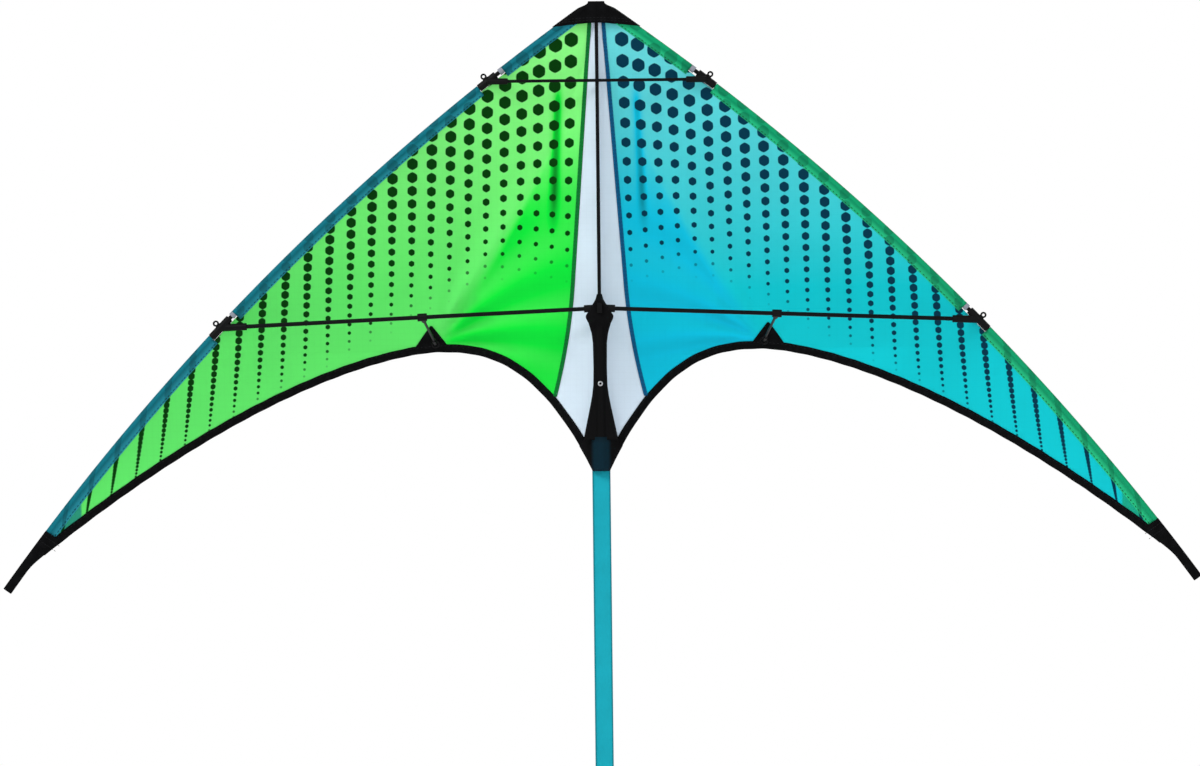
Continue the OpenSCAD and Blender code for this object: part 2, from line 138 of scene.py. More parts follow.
class Plan:
    """The lines of the kite in metres, as x outwards from the spine and drop down from the nose."""

    seam_end = 0.3286
    seam_half = 0.0059

    def __init__(self, shape):
        self.shape = shape
        self.half_span, self.tip_drop = shape.half_span, shape.tip_drop
        self.keel, self.depth = shape.keel_drop, shape.sail_depth
        self.scallop_drop, self.scallop_x = shape.scallop_drop, shape.scallop_x
        self.sleeve, self.binding = shape.sleeve_width, shape.binding_width
        run = self.half_span - shape.nose_half
        chord = math.hypot(run, self.tip_drop)
        self.radius = chord ** 2 / (8 * shape.leading_bow) + shape.leading_bow / 2
        back = self.radius - shape.leading_bow
        self.arc_x = (self.half_span + shape.nose_half) / 2 - back * self.tip_drop / chord
        self.arc_drop = self.tip_drop / 2 + back * run / chord

    def lead_x(self, drop, inset=0.0):
        return self.arc_x + math.sqrt((self.radius - inset) ** 2 - (self.arc_drop - drop) ** 2)

    def lead_drop(self, x, inset=0.0):
        return self.arc_drop - math.sqrt((self.radius - inset) ** 2 - (x - self.arc_x) ** 2)

    def lead_angle(self, drop, inset=0.0):
        return math.asin((self.arc_drop - drop) / (self.radius - inset))

    def on_lead(self, angle, inset, y):
        """A point at an angle on the leading-edge arc, an inset inside its outer edge."""
        reach = self.radius - inset
        return Vector((self.arc_x + reach * math.cos(angle), y,
                       reach * math.sin(angle) - self.arc_drop))

    def trail_drop(self, x):
        if x < self.scallop_x:
            rise = self.keel + 0.003 - self.scallop_drop
            return self.scallop_drop + rise * ((self.scallop_x - x) / (self.scallop_x - 0.005)) ** 2.6
        rise = self.tip_drop - self.scallop_drop
        run = self.half_span - self.scallop_x
        return self.scallop_drop + rise * ((x - self.scallop_x) / run) ** 1.56

    def trail_slope(self, x):
        step = 0.0005
        return (self.trail_drop(x + step) - self.trail_drop(x - step)) / (2 * step)

    def trail_point(self, x, inset):
        slope = self.trail_slope(x)
        size = math.hypot(1, slope)
        return x + inset * slope / size, self.trail_drop(x) - inset / size

    def trail_x(self, drop):
        share = max(drop - self.scallop_drop, 0) / (self.keel + 0.003 - self.scallop_drop)
        return self.scallop_x - (self.scallop_x - 0.005) * share ** (1 / 2.6)

    def ridge(self, drop):
        return 0.42 * (min(max(drop, 0.001), self.scallop_drop) / self.scallop_drop) ** 0.65

    def across(self, x, drop):
        """0 at the spine, 1 on the ridge and 2 at the leading edge."""
        q = min(abs(x) / self.lead_x(drop), 1)
        r = self.ridge(drop)
        return q / r if q < r else 1 + (q - r) / (1 - r)

    def sail_y(self, x, drop):
        q = min(abs(x) / self.lead_x(drop), 1)
        p = self.across(x, drop)
        deep = self.depth * (min(max(drop, 0), self.scallop_drop) / self.scallop_drop) ** 1.4
        if abs(x) < self.scallop_x:
            deep *= 1 - 0.75 * smooth((drop - 0.325) / 0.065)
        inner = 0.55 * p + 0.45 * math.sin(math.pi / 2 * p)
        outer = 0.35 * (2 - p) + 0.65 * math.cos(math.pi / 2 * (p - 1))
        # the crease of the ridge is rounded over a few centimetres
        near = math.exp(-((p - 1) / 0.10) ** 2)
        front = 0.0020 + 0.0018 * smooth((drop - 0.15) / 0.08)
        return front * (1 - q) + deep * ((inner if p < 1 else outer) - 0.018 * near)

    def pleat(self, x, drop):
        """A soft fold that runs down each wing, a little way out from the spine."""
        reach = math.exp(-((abs(x) - 0.033 - 0.05 * (drop - 0.085)) / 0.0035) ** 2)
        return reach * smooth((drop - 0.06) / 0.03) * smooth((0.20 - drop) / 0.05)

    def rays(self, x, drop):
        """Creases that fan out from a stand-off patch towards the spine."""
        dx, dd = abs(x) - self.scallop_x, drop - self.scallop_drop + 0.008
        away = math.hypot(dx, dd)
        angle = math.atan2(-dd, -dx)
        crease = math.cos(13 * angle + (0.6 if x < 0 else 2.1) + 3 * away / self.scallop_x)
        fan = smooth((angle + 0.35) / 0.3) * smooth((1.7 - angle) / 0.8)
        return crease * fan * math.exp(-away / 0.11) * smooth(away / 0.04)

    def ripple(self, x, drop):
        """Puckers of the cloth: the fan of creases, the soft fold and the sleeve's gathers."""
        edge = max(self.lead_x(drop) - abs(x), 0)
        gather = math.sin(abs(x) * 2 * math.pi / 0.013) * math.exp(-edge / 0.012)
        side = 1.0 if x < 0 else 0.7
        crinkle = 0.0007 * noise.noise(Vector((x * 34, drop * 20, 0.3)))
        crinkle += 0.00028 * noise.noise(Vector((x * 130, drop * 80, 4.1)))
        return (side * (0.0034 * self.rays(x, drop) + 0.0012 * self.pleat(x, drop))
                + 0.00018 * gather + crinkle * smooth(edge / 0.02))

    def cloth_y(self, x, drop):
        return self.sail_y(x, drop) + self.ripple(x, drop)

    def on_sail(self, x, drop, lift=0.0):
        """A point on the sail, lifted along its normal towards the front."""
        step = 0.0008
        base = self.cloth_y(x, drop)
        if not lift:
            return Vector((x, base, -drop))
        along_x = Vector((step, self.cloth_y(x + step, drop) - base, 0))
        along_z = Vector((0, self.cloth_y(x, drop - step) - base, step))
        return Vector((x, base, -drop)) + along_x.cross(along_z).normalized() * lift

    def panel_half(self, drop):
        return self.seam_half + 0.0736 * (drop - 0.019) + 1.03 * max(0, drop - 0.235) ** 2

    def over_rods(self, x, drop):
        """Half thickness of the nose webbing: more where the spine and the spars lie under it."""
        spars = self.lead_x(drop, 0.0025)
        bump = math.exp(-(x / 0.0026) ** 2) + math.exp(-((abs(x) - spars) / 0.003) ** 2)
        return 0.0024 + 0.0009 * min(bump, 1)

    def fairing_y(self, x, drop):
        """The cover: over the spine in the middle, down on the sail at its edges."""
        crown = -0.0024 + 0.85 * max(0.0, abs(x) - 0.0016)
        return min(self.cloth_y(x, drop) - 0.0006, crown)


def add(tree, kind, links=(), **settings):
    """Adds a node, with its settings, and its inputs linked to sockets or set to values."""
    node = tree.nodes.new(kind)
    for name, value in settings.items():
        setattr(node, name, value)
    for name, value in dict(links).items():
        if isinstance(value, bpy.types.NodeSocket):
            tree.links.new(value, node.inputs[name])
        else:
            node.inputs[name].default_value = value
    return node


def new_material(name):
    material = bpy.data.materials.new(name)
    material.use_nodes = True
    tree = material.node_tree
    tree.nodes.clear()
    output = add(tree, "ShaderNodeOutputMaterial")
    return material, tree, output


def rgba(value):
    return (*value, 1.0)


def place_in_mm(tree):
    """Distance from the spine and drop from the nose, in millimetres, as two sockets."""
    spot = add(tree, "ShaderNodeTexCoord").outputs["Object"]
    parts = add(tree, "ShaderNodeSeparateXYZ", {0: spot})
    across = add(tree, "ShaderNodeMath", {0: parts.outputs[0], 1: 1 / MM}, operation="MULTIPLY")
    drop = add(tree, "ShaderNodeMath", {0: parts.outputs[2], 1: -1 / MM}, operation="MULTIPLY")
    return spot, across.outputs[0], drop.outputs[0]


def work_out(tree, value, steps):
    """Adds one Math node a step: (result, operation, terms); a term is a number or a result."""
    for result, operation, *terms in steps:
        links = {i: value.get(t, t) if isinstance(t, str) else t for i, t in enumerate(terms)}
        value[result] = add(tree, "ShaderNodeMath", links, operation=operation).outputs[0]
    return value


def dot_print(tree, plan, across, drop):
    """Mask of the printed dots: columns of hexagons that shrink away from the leading edge."""
    radius, arc_x, arc_drop = plan.radius / MM, plan.arc_x / MM, plan.arc_drop / MM
    start, first_pitch, pitch_growth = 1.0, 12.6, 0.19     # the columns, in millimetres
    value = {"across": across, "drop": drop}
    return work_out(tree, value, (
        ("x", "ABSOLUTE", "across"),
        ("run", "SUBTRACT", "x", arc_x), ("run2", "MULTIPLY", "run", "run"),
        ("high2", "SUBTRACT", radius ** 2, "run2"), ("high", "SQRT", "high2"),
        ("lead", "SUBTRACT", arc_drop, "high"), ("below", "SUBTRACT", "drop", "lead"),
        # columns lean outwards, more so towards the wing tip
        ("out", "SUBTRACT", "x", 150.0), ("out+", "MAXIMUM", "out", 0.0),
        ("share", "DIVIDE", "out+", 280.0), ("curve", "POWER", "share", 1.8),
        ("lean", "MULTIPLY_ADD", "curve", 0.21, 0.032), ("shift", "MULTIPLY", "lean", "below"),
        ("x0", "SUBTRACT", "x", "shift"), ("x1", "SUBTRACT", "x0", start),
        ("disc", "MULTIPLY_ADD", "x1", 4 * pitch_growth, first_pitch ** 2),
        ("disc+", "MAXIMUM", "disc", 1.0),
        ("root", "SQRT", "disc+"), ("rise", "SUBTRACT", "root", first_pitch),
        ("c", "DIVIDE", "rise", 2 * pitch_growth),
        ("k", "FLOOR", "c"), ("kc", "ADD", "k", 0.5),
        ("k2", "MULTIPLY", "kc", "kc"), ("k2b", "MULTIPLY_ADD", "k2", pitch_growth, start),
        ("xc", "MULTIPLY_ADD", "kc", first_pitch, "k2b"),
        ("pitch", "MULTIPLY_ADD", "kc", 2 * pitch_growth, first_pitch),
        ("off", "SUBTRACT", "c", "kc"), ("dx", "MULTIPLY", "off", "pitch"),
        # rows count from the leading edge at the column's middle
        ("crun", "SUBTRACT", "xc", arc_x), ("crun2", "MULTIPLY", "crun", "crun"),
        ("chigh2", "SUBTRACT", radius ** 2, "crun2"), ("chigh", "SQRT", "chigh2"),
        ("clead", "SUBTRACT", arc_drop, "chigh"), ("e", "SUBTRACT", "drop", "clead"),
        ("p", "MULTIPLY_ADD", "xc", -0.0335, 17.0), ("p+", "MAXIMUM", "p", 2.6),
        ("near", "MULTIPLY_ADD", "xc", -0.033, 3.0), ("near+", "MAXIMUM", "near", 0.0),
        ("p0", "ADD", "p+", "near+"),
        ("ratio", "DIVIDE", "e", "p0"), ("inside", "MULTIPLY_ADD", "ratio", -0.044, 1.0),
        ("inside+", "MAXIMUM", "inside", 0.0), ("side", "SQRT", "inside+"),
        ("gone", "SUBTRACT", 1.0, "side"), ("v", "DIVIDE", "gone", 0.022),
        ("first", "MULTIPLY_ADD", "xc", 0.0116, -0.858), ("first-", "MINIMUM", "first", 0.0),
        ("drift", "MULTIPLY_ADD", "xc", 0.006, -2.67), ("drift2", "ADD", "drift", "first-"),
        ("vd", "ADD", "v", "drift2"),
        ("vh", "ADD", "vd", 0.5), ("vn", "FLOOR", "vh"), ("w", "SUBTRACT", "vd", "vn"),
        ("vc", "SUBTRACT", "v", "w"),
        ("squeeze", "MULTIPLY_ADD", "vc", -0.022, 1.0), ("pv", "MULTIPLY", "p0", "squeeze"),
        ("dy", "MULTIPLY", "w", "pv"),
        ("d0", "MULTIPLY_ADD", "xc", -0.0168, 12.7), ("far", "SUBTRACT", "xc", 75.0),
        ("far+", "MAXIMUM", "far", 0.0), ("slow", "MULTIPLY_ADD", "far+", -0.00095, 1.0),
        ("vs", "MULTIPLY", "vc", "slow"), ("wane", "MULTIPLY_ADD", "vs", -1 / 17.0, 1.0),
        ("dia", "MULTIPLY", "d0", "wane"), ("half", "MULTIPLY", "dia", 0.5),
        # half-way between a hexagon and a circle
        ("ax", "ABSOLUTE", "dx"), ("ay", "ABSOLUTE", "dy"), ("hy", "MULTIPLY", "ay", 0.866),
        ("hx", "MULTIPLY_ADD", "ax", 0.5, "hy"), ("hex", "MAXIMUM", "hx", "ax"),
        ("dx2", "MULTIPLY", "dx", "dx"), ("r2", "MULTIPLY_ADD", "dy", "dy", "dx2"),
        ("round", "SQRT", "r2"), ("both", "ADD", "hex", "round"),
        ("reach", "MULTIPLY", "both", 0.5), ("gap", "SUBTRACT", "half", "reach"),
        ("soft", "MULTIPLY_ADD", "gap", 2.2, 0.5), ("dot", "MINIMUM", "soft", 1.0),
        ("dot+", "MAXIMUM", "dot", 0.0),
        ("late", "SUBTRACT", 14.5, "vs"), ("fade", "DIVIDE", "late", 2.4),
        ("fade1", "MINIMUM", "fade", 1.0), ("fade+", "MAXIMUM", "fade1", 0.0),
        ("first column", "GREATER_THAN", "k", 0.5), ("printed", "MULTIPLY", "dot+", "fade+"),
        ("mask", "MULTIPLY", "printed", "first column"),
    ))["mask"]


def ripstop(tree, across, drop):
    """Mask of the thicker threads of ripstop."""
    cell, thread = 5.0, 0.22     # their spacing and half width, in millimetres
    value = {"across": across, "drop": drop}
    return work_out(tree, value, (
        ("u", "PINGPONG", "across", cell / 2), ("u1", "LESS_THAN", "u", thread),
        ("v", "PINGPONG", "drop", cell / 2), ("v1", "LESS_THAN", "v", thread),
        ("grid", "MAXIMUM", "u1", "v1"),
    ))["grid"]


def cloth_surface(tree, output, base, bump, glow, roughness=0.62):
    """Thin woven polyester: matt, a little sheen, and light coming through from behind."""
    shader = add(tree, "ShaderNodeBsdfPrincipled", {
        "Base Color": base, "Roughness": roughness, "IOR": 1.5, "Specular IOR Level": 0.08,
        "Normal": bump})
    through = add(tree, "ShaderNodeBsdfTranslucent", {"Color": base, "Normal": bump})
    both = add(tree, "ShaderNodeMixShader", {0: glow, 1: shader.outputs[0], 2: through.outputs[0]})
    tree.links.new(both.outputs[0], output.inputs[0])


def weave_height(tree, spot, thread):
    """Fine over-and-under weave; thread is the spacing in millimetres."""
    turns = 1 / (thread * MM)
    warp = add(tree, "ShaderNodeTexWave", {"Vector": spot, "Scale": turns / 20}, bands_direction="X")
    weft = add(tree, "ShaderNodeTexWave", {"Vector": spot, "Scale": turns / 20}, bands_direction="Z")
    return add(tree, "ShaderNodeMath", {0: warp.outputs["Fac"], 1: weft.outputs["Fac"]},
               operation="MULTIPLY").outputs[0]


def printed_sail(name, plan, light, deep, ink, end):
    """Ripstop polyester, dye-printed: a clean saturated ground with painted light and shade on it, crisp dark
    dots and a tinted wing end.
    """
    material, tree, output = new_material(name)
    spot, across, drop = place_in_mm(tree)
    # the tone attribute carries the painted shade that the wing panels lay on
    tone = add(tree, "ShaderNodeAttribute", attribute_name="tone").outputs["Fac"]
    # painted light and shade on the ground: paler near the nose, where light comes through the cloth; painted
    # shade inside the ridge, where the sail turns away from the light; and the darkest painted shade in the
    # soft fold
    pale = (mix(light[0], 1, 0.2), mix(light[1], 1, 0.2), mix(light[2], 1, 0.12))
    shade = work_out(tree, {"drop": drop, "tone": tone}, (
        ("nose", "MULTIPLY_ADD", "drop", -1 / 240, 1.0), ("nose+", "MAXIMUM", "nose", 0.0),
        ("over", "SUBTRACT", "tone", 1.0), ("over+", "MAXIMUM", "over", 0.0),
        ("dark", "MULTIPLY_ADD", "over+", -0.5, 1.0)))
    high = add(tree, "ShaderNodeMix", {0: shade["nose+"], 6: rgba(light), 7: rgba(pale)}, data_type="RGBA")
    body = add(tree, "ShaderNodeMix", {0: tone, 6: high.outputs[2], 7: rgba(deep)}, data_type="RGBA")
    out = work_out(tree, {"across": across}, (
        ("x", "ABSOLUTE", "across"), ("out", "SUBTRACT", "x", 434.0), ("s", "MULTIPLY", "out", 0.5),
        ("s1", "MINIMUM", "s", 0.85), ("s+", "MAXIMUM", "s1", 0.0)))["s+"]
    ground = add(tree, "ShaderNodeMix", {0: out, 6: body.outputs[2], 7: rgba(end)}, data_type="RGBA")
    cloud = add(tree, "ShaderNodeTexNoise", {"Vector": spot, "Scale": 9.0, "Detail": 3.0})
    patchy = add(tree, "ShaderNodeMapRange", {0: cloud.outputs[0], 3: 0.93, 4: 1.07})
    grid = ripstop(tree, across, drop)
    thread = add(tree, "ShaderNodeMath", {0: grid, 1: -0.02, 2: patchy.outputs[0]},
                 operation="MULTIPLY_ADD")
    # painted shade: the soft fold darkens the cloth further where its tone goes over 1
    lit = add(tree, "ShaderNodeMath", {0: thread.outputs[0], 1: shade["dark"]}, operation="MULTIPLY")
    cloth = add(tree, "ShaderNodeVectorMath", {0: ground.outputs[2], "Scale": lit.outputs[0]},
                operation="SCALE")
    dots = dot_print(tree, plan, across, drop)
    inked = add(tree, "ShaderNodeMix", {0: dots, 6: cloth.outputs[0], 7: rgba(ink)}, data_type="RGBA")
    weave = weave_height(tree, spot, 0.9)
    height = add(tree, "ShaderNodeMath", {0: grid, 1: 0.6, 2: weave}, operation="MULTIPLY_ADD")
    bump = add(tree, "ShaderNodeBump", {"Strength": 0.25, "Distance": 0.00012, "Height": height.outputs[0]})
    cloth_surface(tree, output, inked.outputs[2], bump.outputs[0], 0.42)
    return material


def sleeve_cloth(name, plan, value):
    """Heavier polyester of the sleeves: the print shows faintly through its two layers."""
    material, tree, output = new_material(name)
    spot, across, drop = place_in_mm(tree)
    dots = dot_print(tree, plan, across, drop)
    shown = add(tree, "ShaderNodeMath", {0: dots, 1: 0.45}, operation="MULTIPLY").outputs[0]
    edge = add(tree, "ShaderNodeAttribute", attribute_name="tone").outputs["Fac"]
    dark = tuple(c * 0.35 for c in value)
    pale = tuple(min(c * 1.9 + 0.02, 1) for c in value)
    ground = add(tree, "ShaderNodeMix", {0: edge, 6: rgba(pale), 7: rgba(value)}, data_type="RGBA")
    inked = add(tree, "ShaderNodeMix", {0: shown, 6: ground.outputs[2], 7: rgba(dark)}, data_type="RGBA")
    weave = weave_height(tree, spot, 1.0)
    bump = add(tree, "ShaderNodeBump", {"Strength": 0.35, "Distance": 0.0002, "Height": weave})
    cloth_surface(tree, output, inked.outputs[2], bump.outputs[0], 0.25)
    return material


def plain_cloth(name, value, glow, cloudy=0.06, roughness=0.62):
    """Plain dyed polyester with a ripstop grid and faint clouding."""
    material, tree, output = new_material(name)
    spot, across, drop = place_in_mm(tree)
    cloud = add(tree, "ShaderNodeTexNoise", {"Vector": spot, "Scale": 40.0, "Detail": 4.0})
    patchy = add(tree, "ShaderNodeMapRange", {0: cloud.outputs[0], 3: 1 - cloudy, 4: 1 + cloudy})
    grid = ripstop(tree, across, drop)
    amount = add(tree, "ShaderNodeMath", {0: grid, 1: -0.02, 2: patchy.outputs[0]},
                 operation="MULTIPLY_ADD")
    base = add(tree, "ShaderNodeVectorMath", {0: value, "Scale": amount.outputs[0]}, operation="SCALE")
    weave = weave_height(tree, spot, 0.9)
    bump = add(tree, "ShaderNodeBump", {"Strength": 0.3, "Distance": 0.0002, "Height": weave})
    cloth_surface(tree, output, base.outputs[0], bump.outputs[0], glow, roughness)
    return material


def webbing(name, value, thread=1.6, strength=0.8):
    """Woven polyester webbing or binding: coarse ribs, matt, greyer on the rib tops."""
    material, tree, output = new_material(name)
    spot = add(tree, "ShaderNodeTexCoord").outputs["Object"]
    weave = weave_height(tree, spot, thread)
    fuzz = add(tree, "ShaderNodeTexNoise", {"Vector": spot, "Scale": 900.0, "Detail": 3.0})
    tops = add(tree, "ShaderNodeMath", {0: weave, 1: 0.6, 2: fuzz.outputs[0]}, operation="MULTIPLY_ADD")
    lift = add(tree, "ShaderNodeMapRange", {0: tops.outputs[0], 1: 0.4, 2: 1.2, 3: 0.0, 4: 1.0})
    light = tuple(c * 2.0 + 0.0015 for c in value)
    base = add(tree, "ShaderNodeMix", {0: lift.outputs[0], 6: rgba(value), 7: rgba(light)}, data_type="RGBA")
    bump = add(tree, "ShaderNodeBump", {"Strength": strength, "Distance": 0.0003, "Height": tops.outputs[0]})
    shader = add(tree, "ShaderNodeBsdfPrincipled", {
        "Base Color": base.outputs[2], "Roughness": 0.85, "IOR": 1.5, "Specular IOR Level": 0.07,
        "Normal": bump.outputs[0]})
    tree.links.new(shader.outputs[0], output.inputs[0])
    return material


def moulded(name, value, roughness=0.5):
    """Moulded or dipped vinyl: an even, slightly soft surface with a very fine grain."""
    material, tree, output = new_material(name)
    spot = add(tree, "ShaderNodeTexCoord").outputs["Object"]
    fine = add(tree, "ShaderNodeTexNoise", {"Vector": spot, "Scale": 1600.0, "Detail": 3.0})
    rough = add(tree, "ShaderNodeMapRange", {
        0: fine.outputs[0], 3: roughness - 0.08, 4: roughness + 0.08})
    bump = add(tree, "ShaderNodeBump", {"Strength": 0.2, "Distance": 0.0001, "Height": fine.outputs[0]})
    shade = add(tree, "ShaderNodeMapRange", {0: fine.outputs[0], 3: 0.85, 4: 1.15})
    base = add(tree, "ShaderNodeVectorMath", {0: value, "Scale": shade.outputs[0]}, operation="SCALE")
    shader = add(tree, "ShaderNodeBsdfPrincipled", {
        "Base Color": base.outputs[0], "Roughness": rough.outputs[0], "IOR": 1.52,
        "Specular IOR Level": 0.08, "Normal": bump.outputs[0]})
    tree.links.new(shader.outputs[0], output.inputs[0])
    return material


def pultruded_rod(name):
    """Pultruded fibre rod: black, satin, with faint streaks along and a thin resin skin."""
    material, tree, output = new_material(name)
    spot = add(tree, "ShaderNodeTexCoord").outputs["Object"]
    streak = add(tree, "ShaderNodeTexNoise", {"Vector": spot, "Scale": 2600.0, "Detail": 2.0})
    rough = add(tree, "ShaderNodeMapRange", {0: streak.outputs[0], 3: 0.28, 4: 0.48})
    base = add(tree, "ShaderNodeMix", {
        0: streak.outputs[0], 6: rgba(linear("#050506")), 7: rgba(linear("#121214"))}, data_type="RGBA")
    bump = add(tree, "ShaderNodeBump", {"Strength": 0.12, "Distance": 0.00005, "Height": streak.outputs[0]})
    shader = add(tree, "ShaderNodeBsdfPrincipled", {
        "Base Color": base.outputs[2], "Roughness": rough.outputs[0], "IOR": 1.55,
        "Specular IOR Level": 0.05, "Normal": bump.outputs[0]})
    tree.links.new(shader.outputs[0], output.inputs[0])
    return material


def plated_eyelet(name):
    """Nickel-plated brass eyelet: bright, lightly scuffed."""
    material, tree, output = new_material(name)
    spot = add(tree, "ShaderNodeTexCoord").outputs["Object"]
    scuff = add(tree, "ShaderNodeTexNoise", {"Vector": spot, "Scale": 1200.0, "Detail": 4.0})
    rough = add(tree, "ShaderNodeMapRange", {0: scuff.outputs[0], 3: 0.22, 4: 0.42})
    shader = add(tree, "ShaderNodeBsdfPrincipled", {
        "Base Color": rgba(linear("#C2C4C8")), "Metallic": 1.0, "Roughness": rough.outputs[0]})
    tree.links.new(shader.outputs[0], output.inputs[0])
    return material


def hemmed_ribbon(name, value):
    """Polyester ribbon: translucent in the middle, darker along its folded hems."""
    material, tree, output = new_material(name)
    spot = add(tree, "ShaderNodeTexCoord").outputs["Object"]
    edge = add(tree, "ShaderNodeAttribute", attribute_name="tone").outputs["Fac"]
    dark = tuple(c * 0.55 for c in value)
    cloud = add(tree, "ShaderNodeTexNoise", {"Vector": spot, "Scale": 60.0, "Detail": 3.0})
    patchy = add(tree, "ShaderNodeMapRange", {0: cloud.outputs[0], 3: 0.9, 4: 1.1})
    ground = add(tree, "ShaderNodeMix", {0: edge, 6: rgba(value), 7: rgba(dark)}, data_type="RGBA")
    base = add(tree, "ShaderNodeVectorMath", {0: ground.outputs[2], "Scale": patchy.outputs[0]},
               operation="SCALE")
    weave = weave_height(tree, spot, 0.9)
    bump = add(tree, "ShaderNodeBump", {"Strength": 0.3, "Distance": 0.00015, "Height": weave})
    cloth_surface(tree, output, base.outputs[0], bump.outputs[0], 0.3)
    return material


def tail_patch_cloth(name, value, through):
    """Thin black cloth over the tail's fixed end, whose colour shows dimly through it."""
    material, tree, output = new_material(name)
    spot, across, drop = place_in_mm(tree)
    mask = work_out(tree, {"across": across, "drop": drop}, (
        ("x", "ABSOLUTE", "across"), ("in", "SUBTRACT", 7.2, "x"), ("s", "MULTIPLY_ADD", "in", 0.35, 0.5),
        ("s1", "MINIMUM", "s", 1.0), ("s+", "MAXIMUM", "s1", 0.0),
        ("d", "SUBTRACT", "drop", 355.0), ("t", "MULTIPLY", "d", 0.07),
        ("t1", "MINIMUM", "t", 1.0), ("t+", "MAXIMUM", "t1", 0.0),
        ("m", "MULTIPLY", "s+", "t+"),
    ))["m"]
    base = add(tree, "ShaderNodeMix", {0: mask, 6: rgba(value), 7: rgba(through)}, data_type="RGBA")
    weave = weave_height(tree, spot, 1.1)
    bump = add(tree, "ShaderNodeBump", {"Strength": 0.5, "Distance": 0.0002, "Height": weave})
    cloth_surface(tree, output, base.outputs[2], bump.outputs[0], 0.08, 0.7)
    return material


def finish_piece(name, mesh, material, body, slot, nodes=()):
    """Turns a bmesh into an object that rides on a body, unless it is None, and stands for CAD nodes."""
    data = bpy.data.meshes.new(name)
    mesh.to_mesh(data)
    mesh.free()
    piece = bpy.data.objects.new(name, data)
    bpy.context.scene.collection.objects.link(piece)
    data.materials.append(material)
    for polygon in data.polygons:
        polygon.use_smooth = True
    if body:
        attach(piece, body)
    if nodes:
        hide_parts(*nodes)
    return piece


def solidify(piece, thickness, offset=0.0):
    wall = piece.modifiers.new("cloth thickness", "SOLIDIFY")
    wall.thickness = thickness
    wall.offset = offset
    wall.use_even_offset = False


# Each sheet as it is cut: width, length and, unless it is a rectangle, area, in metres and square metres.
CUTS = {
    "wing_panel": (0.2560, 0.6929, 0.06730), "centre_panel": (0.0902, 0.3740, 0.01736),
    "sleeve": (0.0280, 0.5640), "binding": (0.0151, 0.5761), "tip_webbing": (0.0335, 0.0602, 0.00157),
    "nose_webbing": (0.0711, 0.0404, 0.00170), "standoff_patch": (0.0304, 0.0183, 0.00033),
    "centre_cover": (0.0306, 0.1215, 0.00214), "tail_patch_front": (0.0430, 0.0285, 0.00093),
    "tail_patch_back": (0.0375, 0.0285, 0.00078),
}


def cut_cloth(cut):
    """Looks up the flat sheet that a sewn piece was cut from; nothing is done with it."""
    width, length, *area = CUTS[cut]
    area[0] if area else None


def grid_mesh(columns, rows, place, tone=None, weld=False):
    """A grid laid out by place(u, v), with u and v from 0 to 1, and a tone at each point."""
    mesh = bmesh.new()
    mesh.loops.layers.uv.new("UVMap")
    layer = mesh.verts.layers.float.new("tone")
    bmesh.ops.create_grid(mesh, x_segments=columns, y_segments=rows, size=0.5, calc_uvs=True)
    for vertex in mesh.verts:
        u, v = vertex.co.x + 0.5, vertex.co.y + 0.5
        vertex.co = place(u, v)
        vertex[layer] = tone(u, v) if tone else 0.0
    if weld:
        bmesh.ops.remove_doubles(mesh, verts=mesh.verts, dist=WELD)
    return mesh


def ring_profile(mesh, points):
    """A closed loop of edges through the points."""
    corners = [mesh.verts.new(p) for p in points]
    return corners + [mesh.edges.new((a, b)) for a, b in zip(corners, corners[1:] + corners[:1])]


def turned(points, axis, steps):
    """A closed profile turned once round an axis through the origin."""
    mesh = bmesh.new()
    bmesh.ops.spin(mesh, geom=ring_profile(mesh, points), cent=(0, 0, 0), axis=axis,
                   angle=2 * math.pi, steps=steps, use_merge=True)
    bmesh.ops.remove_doubles(mesh, verts=mesh.verts, dist=WELD)
    bmesh.ops.recalc_face_normals(mesh, faces=mesh.faces)
    return mesh


def mirror_to(mesh, side):
    if side < 0:
        bmesh.ops.scale(mesh, vec=(-1, 1, 1), verts=mesh.verts)
        bmesh.ops.reverse_faces(mesh, faces=mesh.faces)
    return mesh


def stitch_row(mesh, path, spacing, half_length=0.0011):
    """A row of small raised stitches along path(t) -> (point, direction), t from 0 to 1."""
    samples = [path(i / 400) for i in range(401)]
    travelled, due = 0.0, 0.0
    for (a, _), (b, heading) in zip(samples, samples[1:]):
        travelled += (b - a).length
        if travelled < due:
            continue
        due += spacing
        turn = heading.to_track_quat("X", "Y").to_matrix().to_4x4()
        size = Matrix.Diagonal((half_length, 0.00028, 0.00028, 1))
        bmesh.ops.create_uvsphere(
            mesh, u_segments=6, v_segments=4, radius=1, matrix=Matrix.Translation(b) @ turn @ size)


def sew(name, thread, slot, shade="black"):
    """Turns rows of stitches into a piece of the frame."""
    return finish_piece(name, thread, finish_of(f"sewing thread, {shade}"), "kite_frame", slot)


def along(point, step=0.002):
    """A path for stitch_row from a function of t that gives points."""
    def path(t):
        ahead = point(min(t + step, 1))
        back = point(max(t - step, 0))
        return point(t), (ahead - back).normalized()
    return path


def kite_plan():
    return Plan(bpy.context.scene.kite_shape)


def palette():
    return bpy.context.scene.kite_colours


def dress_cad(node, material):
    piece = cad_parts[node]
    for holder in piece.material_slots:
        holder.material = material


def moulded_copy(node, material, body, slot, voxel=0.00032):
    """A CAD fitting with its edges rounded as a mould leaves them."""
    mesh = bmesh.new()
    mesh.from_mesh(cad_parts[node].data)
    bmesh.ops.remove_doubles(mesh, verts=mesh.verts, dist=WELD)
    piece = finish_piece(node + "_moulded", mesh, material, body, slot, (node,))
    blend = piece.modifiers.new("one skin", "REMESH")
    blend.mode = "VOXEL"
    blend.voxel_size = voxel
    blend.use_smooth_shade = True
    soften = piece.modifiers.new("soft edges", "SMOOTH")
    soften.factor = 0.5
    soften.iterations = 7


